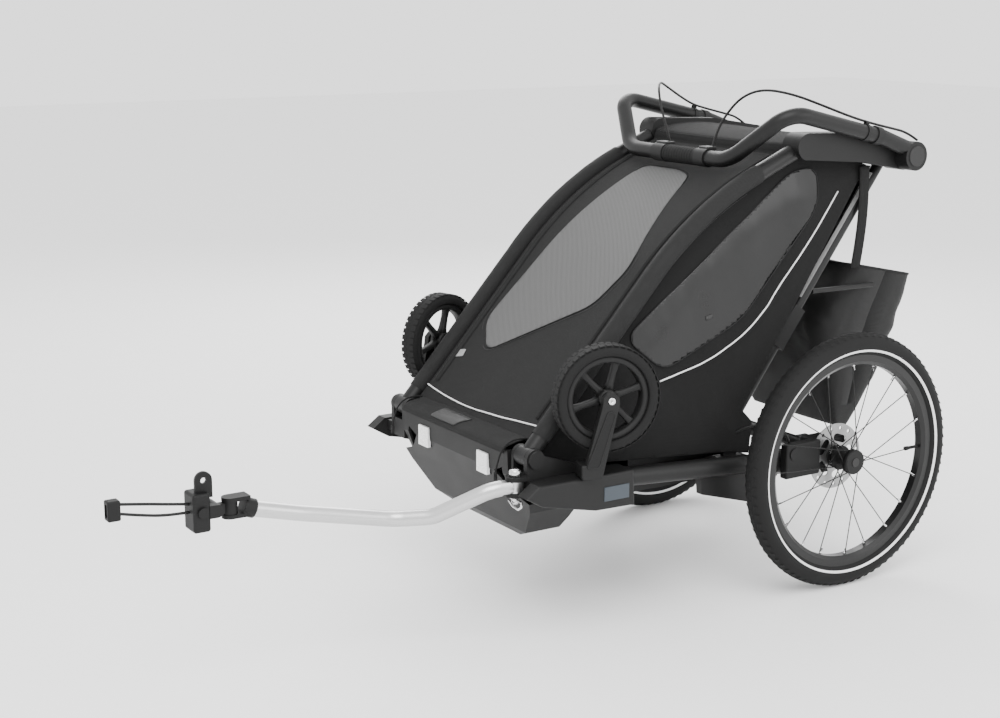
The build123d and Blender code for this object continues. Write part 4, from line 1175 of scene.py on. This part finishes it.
for side, sign in sides:
    place = casterPlace(sign)
    body = f"caster_wheel_{side.lower()}"
    halfWide = caster["width"] / 2
    outline = [(-halfWide, 77), (-halfWide, 87), (-halfWide + 1.5, 91.2), (-halfWide + 5, 93.8), (-6, 94.8),
               (0, 95.1), (6, 94.8), (halfWide - 5, 93.8), (halfWide - 1.5, 91.2), (halfWide, 87),
               (halfWide, 77), (halfWide - 2.5, 75.6), (-halfWide + 2.5, 75.6)]
    tyre = spun(f"casterTyre{side}", outline, place, "tyreRubber", steps=90)
    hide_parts(body)
    tread = []
    for n in range(caster["treadCount"]):
        for across in (-9.5, 9.5):
            angle = 2 * math.pi * (n + 0.5 * (across > 0)) / caster["treadCount"]
            spot = place(across, 94.0 * math.cos(angle), 94.0 * math.sin(angle))
            way = place(across, 94 * math.cos(angle + 0.05), 94 * math.sin(angle + 0.05)) - spot
            tread.append((spot, way, spot - place(across, 0, 0)))
    treads = blocks(f"casterTread{side}", tread, (0.0098, 0.0138, 0.0014), "tyreRubber", taper=0.88)
    rimLine = [(-13, 66), (-13, 75.8), (13, 75.8), (13, 66), (9, 63.5), (-9, 63.5)]
    rim = spun(f"casterRim{side}", rimLine, place, "plastic", steps=90)
    hubLine = [(-14, 5.1), (-14, 14), (-12.5, 16), (12.5, 16), (14, 14), (14, 5.1)]
    hub = spun(f"casterHub{side}", hubLine, place, "plastic", steps=48)
    points, faces = [], []
    for n in range(6):
        angle = math.radians(60 * n + 15)
        first = len(points)
        for radius, wide, deep in ((13, 8.5, 9), (26, 5.6, 7.5), (46, 5.2, 6.2), (60, 6.2, 6.6), (66, 11, 8)):
            for i, j in ((-1, -0.55), (-0.72, -1), (0.72, -1), (1, -0.55), (1, 0.55), (0.72, 1), (-0.72, 1),
                         (-1, 0.55)):
                out = radius * math.cos(angle) - i * wide * math.sin(angle)
                up = radius * math.sin(angle) + i * wide * math.cos(angle)
                points.append(place(j * deep, out, up))
        faces += ringFaces(5, 8, first=first)
    spokes = addMesh(f"casterSpokes{side}", points, faces, "plastic")
    fitted([(tyre, "tyre_rubber"), (treads, "tyre_rubber"), (rim, "plastic_black"), (hub, "plastic_black"),
            (spokes, "plastic_black")], body)
    # the fork's recessed panel and its bolt
    fork = f"caster_fork_{side.lower()}"
    face = caster["forkFace"]
    panelEdge = rounded([(-44, -118), (-22, -118), (8, -22), (-6, -18)], 6)
    recess = addMesh(f"forkPanel{side}",
                     [place(face + h, out, up) for h in (-0.2, 0.9) for out, up in panelEdge],
                     [tuple(range(len(panelEdge), 2 * len(panelEdge)))] +
                     [(k, (k + 1) % len(panelEdge), len(panelEdge) + (k + 1) % len(panelEdge),
                       len(panelEdge) + k) for k in range(len(panelEdge))], "darkPlastic", smooth=False)
    lip = pipe(f"forkLip{side}", [place(face + 0.6, out, up) for out, up in panelEdge], 0.0012, "plastic",
               closed=True)
    bolt = spun(f"forkBolt{side}", [(face - 0.5, 0.05), (face + 1.6, 0.05), (face + 1.9, 2.6),
                                    (face + 2.8, 3.0), (face + 2.8, 5.2), (face + 2.0, 6.4),
                                    (face - 0.5, 6.6)], place, "brightSteel", steps=32)
    fitted([(recess, "plastic_black"), (lip, "plastic_black"), (bolt, "rotor_steel")], fork)
print("stroller wheels made")

# hitch and handlebar details

hitch = {"pin": (235, -722), "top": 314.4, "foot": 279.0, "dot": (107.2, -1167, 295)}
knobLine = [(0.2, 12.9), (6.8, 12.9), (9.2, 11.6), (10.5, 9.4), (10.5, 1.2), (9.4, 0.1), (0.2, 0.1)]
count = 48
px, py = hitch["pin"]
knobPoints = [at(px + r * math.cos(2 * math.pi * n / count) * (1 + 0.03 * (n % 4 == 0) * (1 < h < 12)),
                 py + r * math.sin(2 * math.pi * n / count), hitch["top"] + h)
              for n in range(count) for r, h in knobLine]
rows = len(knobLine)
knobFaces = [(n * rows + k, n * rows + k + 1, (n + 1) % count * rows + k + 1, (n + 1) % count * rows + k)
             for n in range(count) for k in range(rows - 1)]
pinKnob = addMesh("pinKnob", knobPoints, knobFaces, "brightSteel")
clipLine = [(-19, 0, -7), (14, 0, -7), (23, -1, -8), (26, -4, -14), (20, -6, -19), (6, -8, -16), (-6, -9, -8)]
pinClip = pipe("pinClip", [at(px + x, py + y, hitch["foot"] + z) for x, y, z in clipLine], 0.002,
               "brightSteel")
pinShaft = pipe("pinShaft", [at(px, py, hitch["foot"] + 0.5), at(px, py, hitch["foot"] - 14.4)], 0.0062,
                "brightSteel", sides=20)
fitted([(piece, "rotor_steel") for piece in (pinKnob, pinClip, pinShaft)], "chassis")
dotX, dotY, dotZ = hitch["dot"]
dot = pipe("armDot", [at(dotX - 3, dotY, dotZ), at(dotX + 0.9, dotY, dotZ)], 0.0052, "darkPlastic", sides=24)
fitted([(dot, "plastic_black")], "hitch_arm")
grip = {"y": -195, "z": 825, "radius": 16.7, "from": -24, "to": 64, "pitch": 8}
for n, x in enumerate(range(grip["from"], grip["to"], grip["pitch"])):
    ring = [at(x, grip["y"] + grip["radius"] * math.cos(2 * math.pi * k / 40),
               grip["z"] + grip["radius"] * math.sin(2 * math.pi * k / 40)) for k in range(40)]
    fitted([(pipe(f"gripRib{n}", ring, 0.0007, "gripRubber", closed=True, sides=8), "grip_rubber")],
           "twist_grip")
print("details made")

# floor and light

floorReach = 14
floorMesh = bpy.data.meshes.new("floor")
floorMesh.from_pydata([(x * floorReach, y * floorReach, 0) for x, y in ((-1, -1), (1, -1), (1, 1), (-1, 1))],
                      [], [(0, 1, 2, 3)])
floor = bpy.data.objects.new("floor", floorMesh)
bpy.context.scene.collection.objects.link(floor)
floor.data.materials.append(paint("floorPaint", moulded, shade(246), 0.75, grain=90, spread=0.01))
floor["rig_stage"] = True
world = bpy.data.worlds.new("studio")
bpy.context.scene.world = world
world.use_nodes = True
world.node_tree.nodes["Background"].inputs["Color"].default_value = (1, 1, 1, 1)
world.node_tree.nodes["Background"].inputs["Strength"].default_value = 1.9
lamps = {
    "key": ((1.9, -1.2, 3.2), 2.6, 120),
    "fill": ((3.4, 1.9, 1.7), 2.2, 55),
    "rim": ((-2.6, 1.6, 2.4), 2.0, 80),
}
for name, (place, size, power) in lamps.items():
    lamp = bpy.data.lights.new(name, "AREA")
    lamp.size = size
    lamp.energy = power
    stand = bpy.data.objects.new(name, lamp)
    bpy.context.scene.collection.objects.link(stand)
    stand.location = place
    stand.rotation_mode = "QUATERNION"
    stand.rotation_quaternion = (Vector((0, 0, 0.45)) - Vector(place)).to_track_quat("-Z", "Y")

low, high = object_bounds()
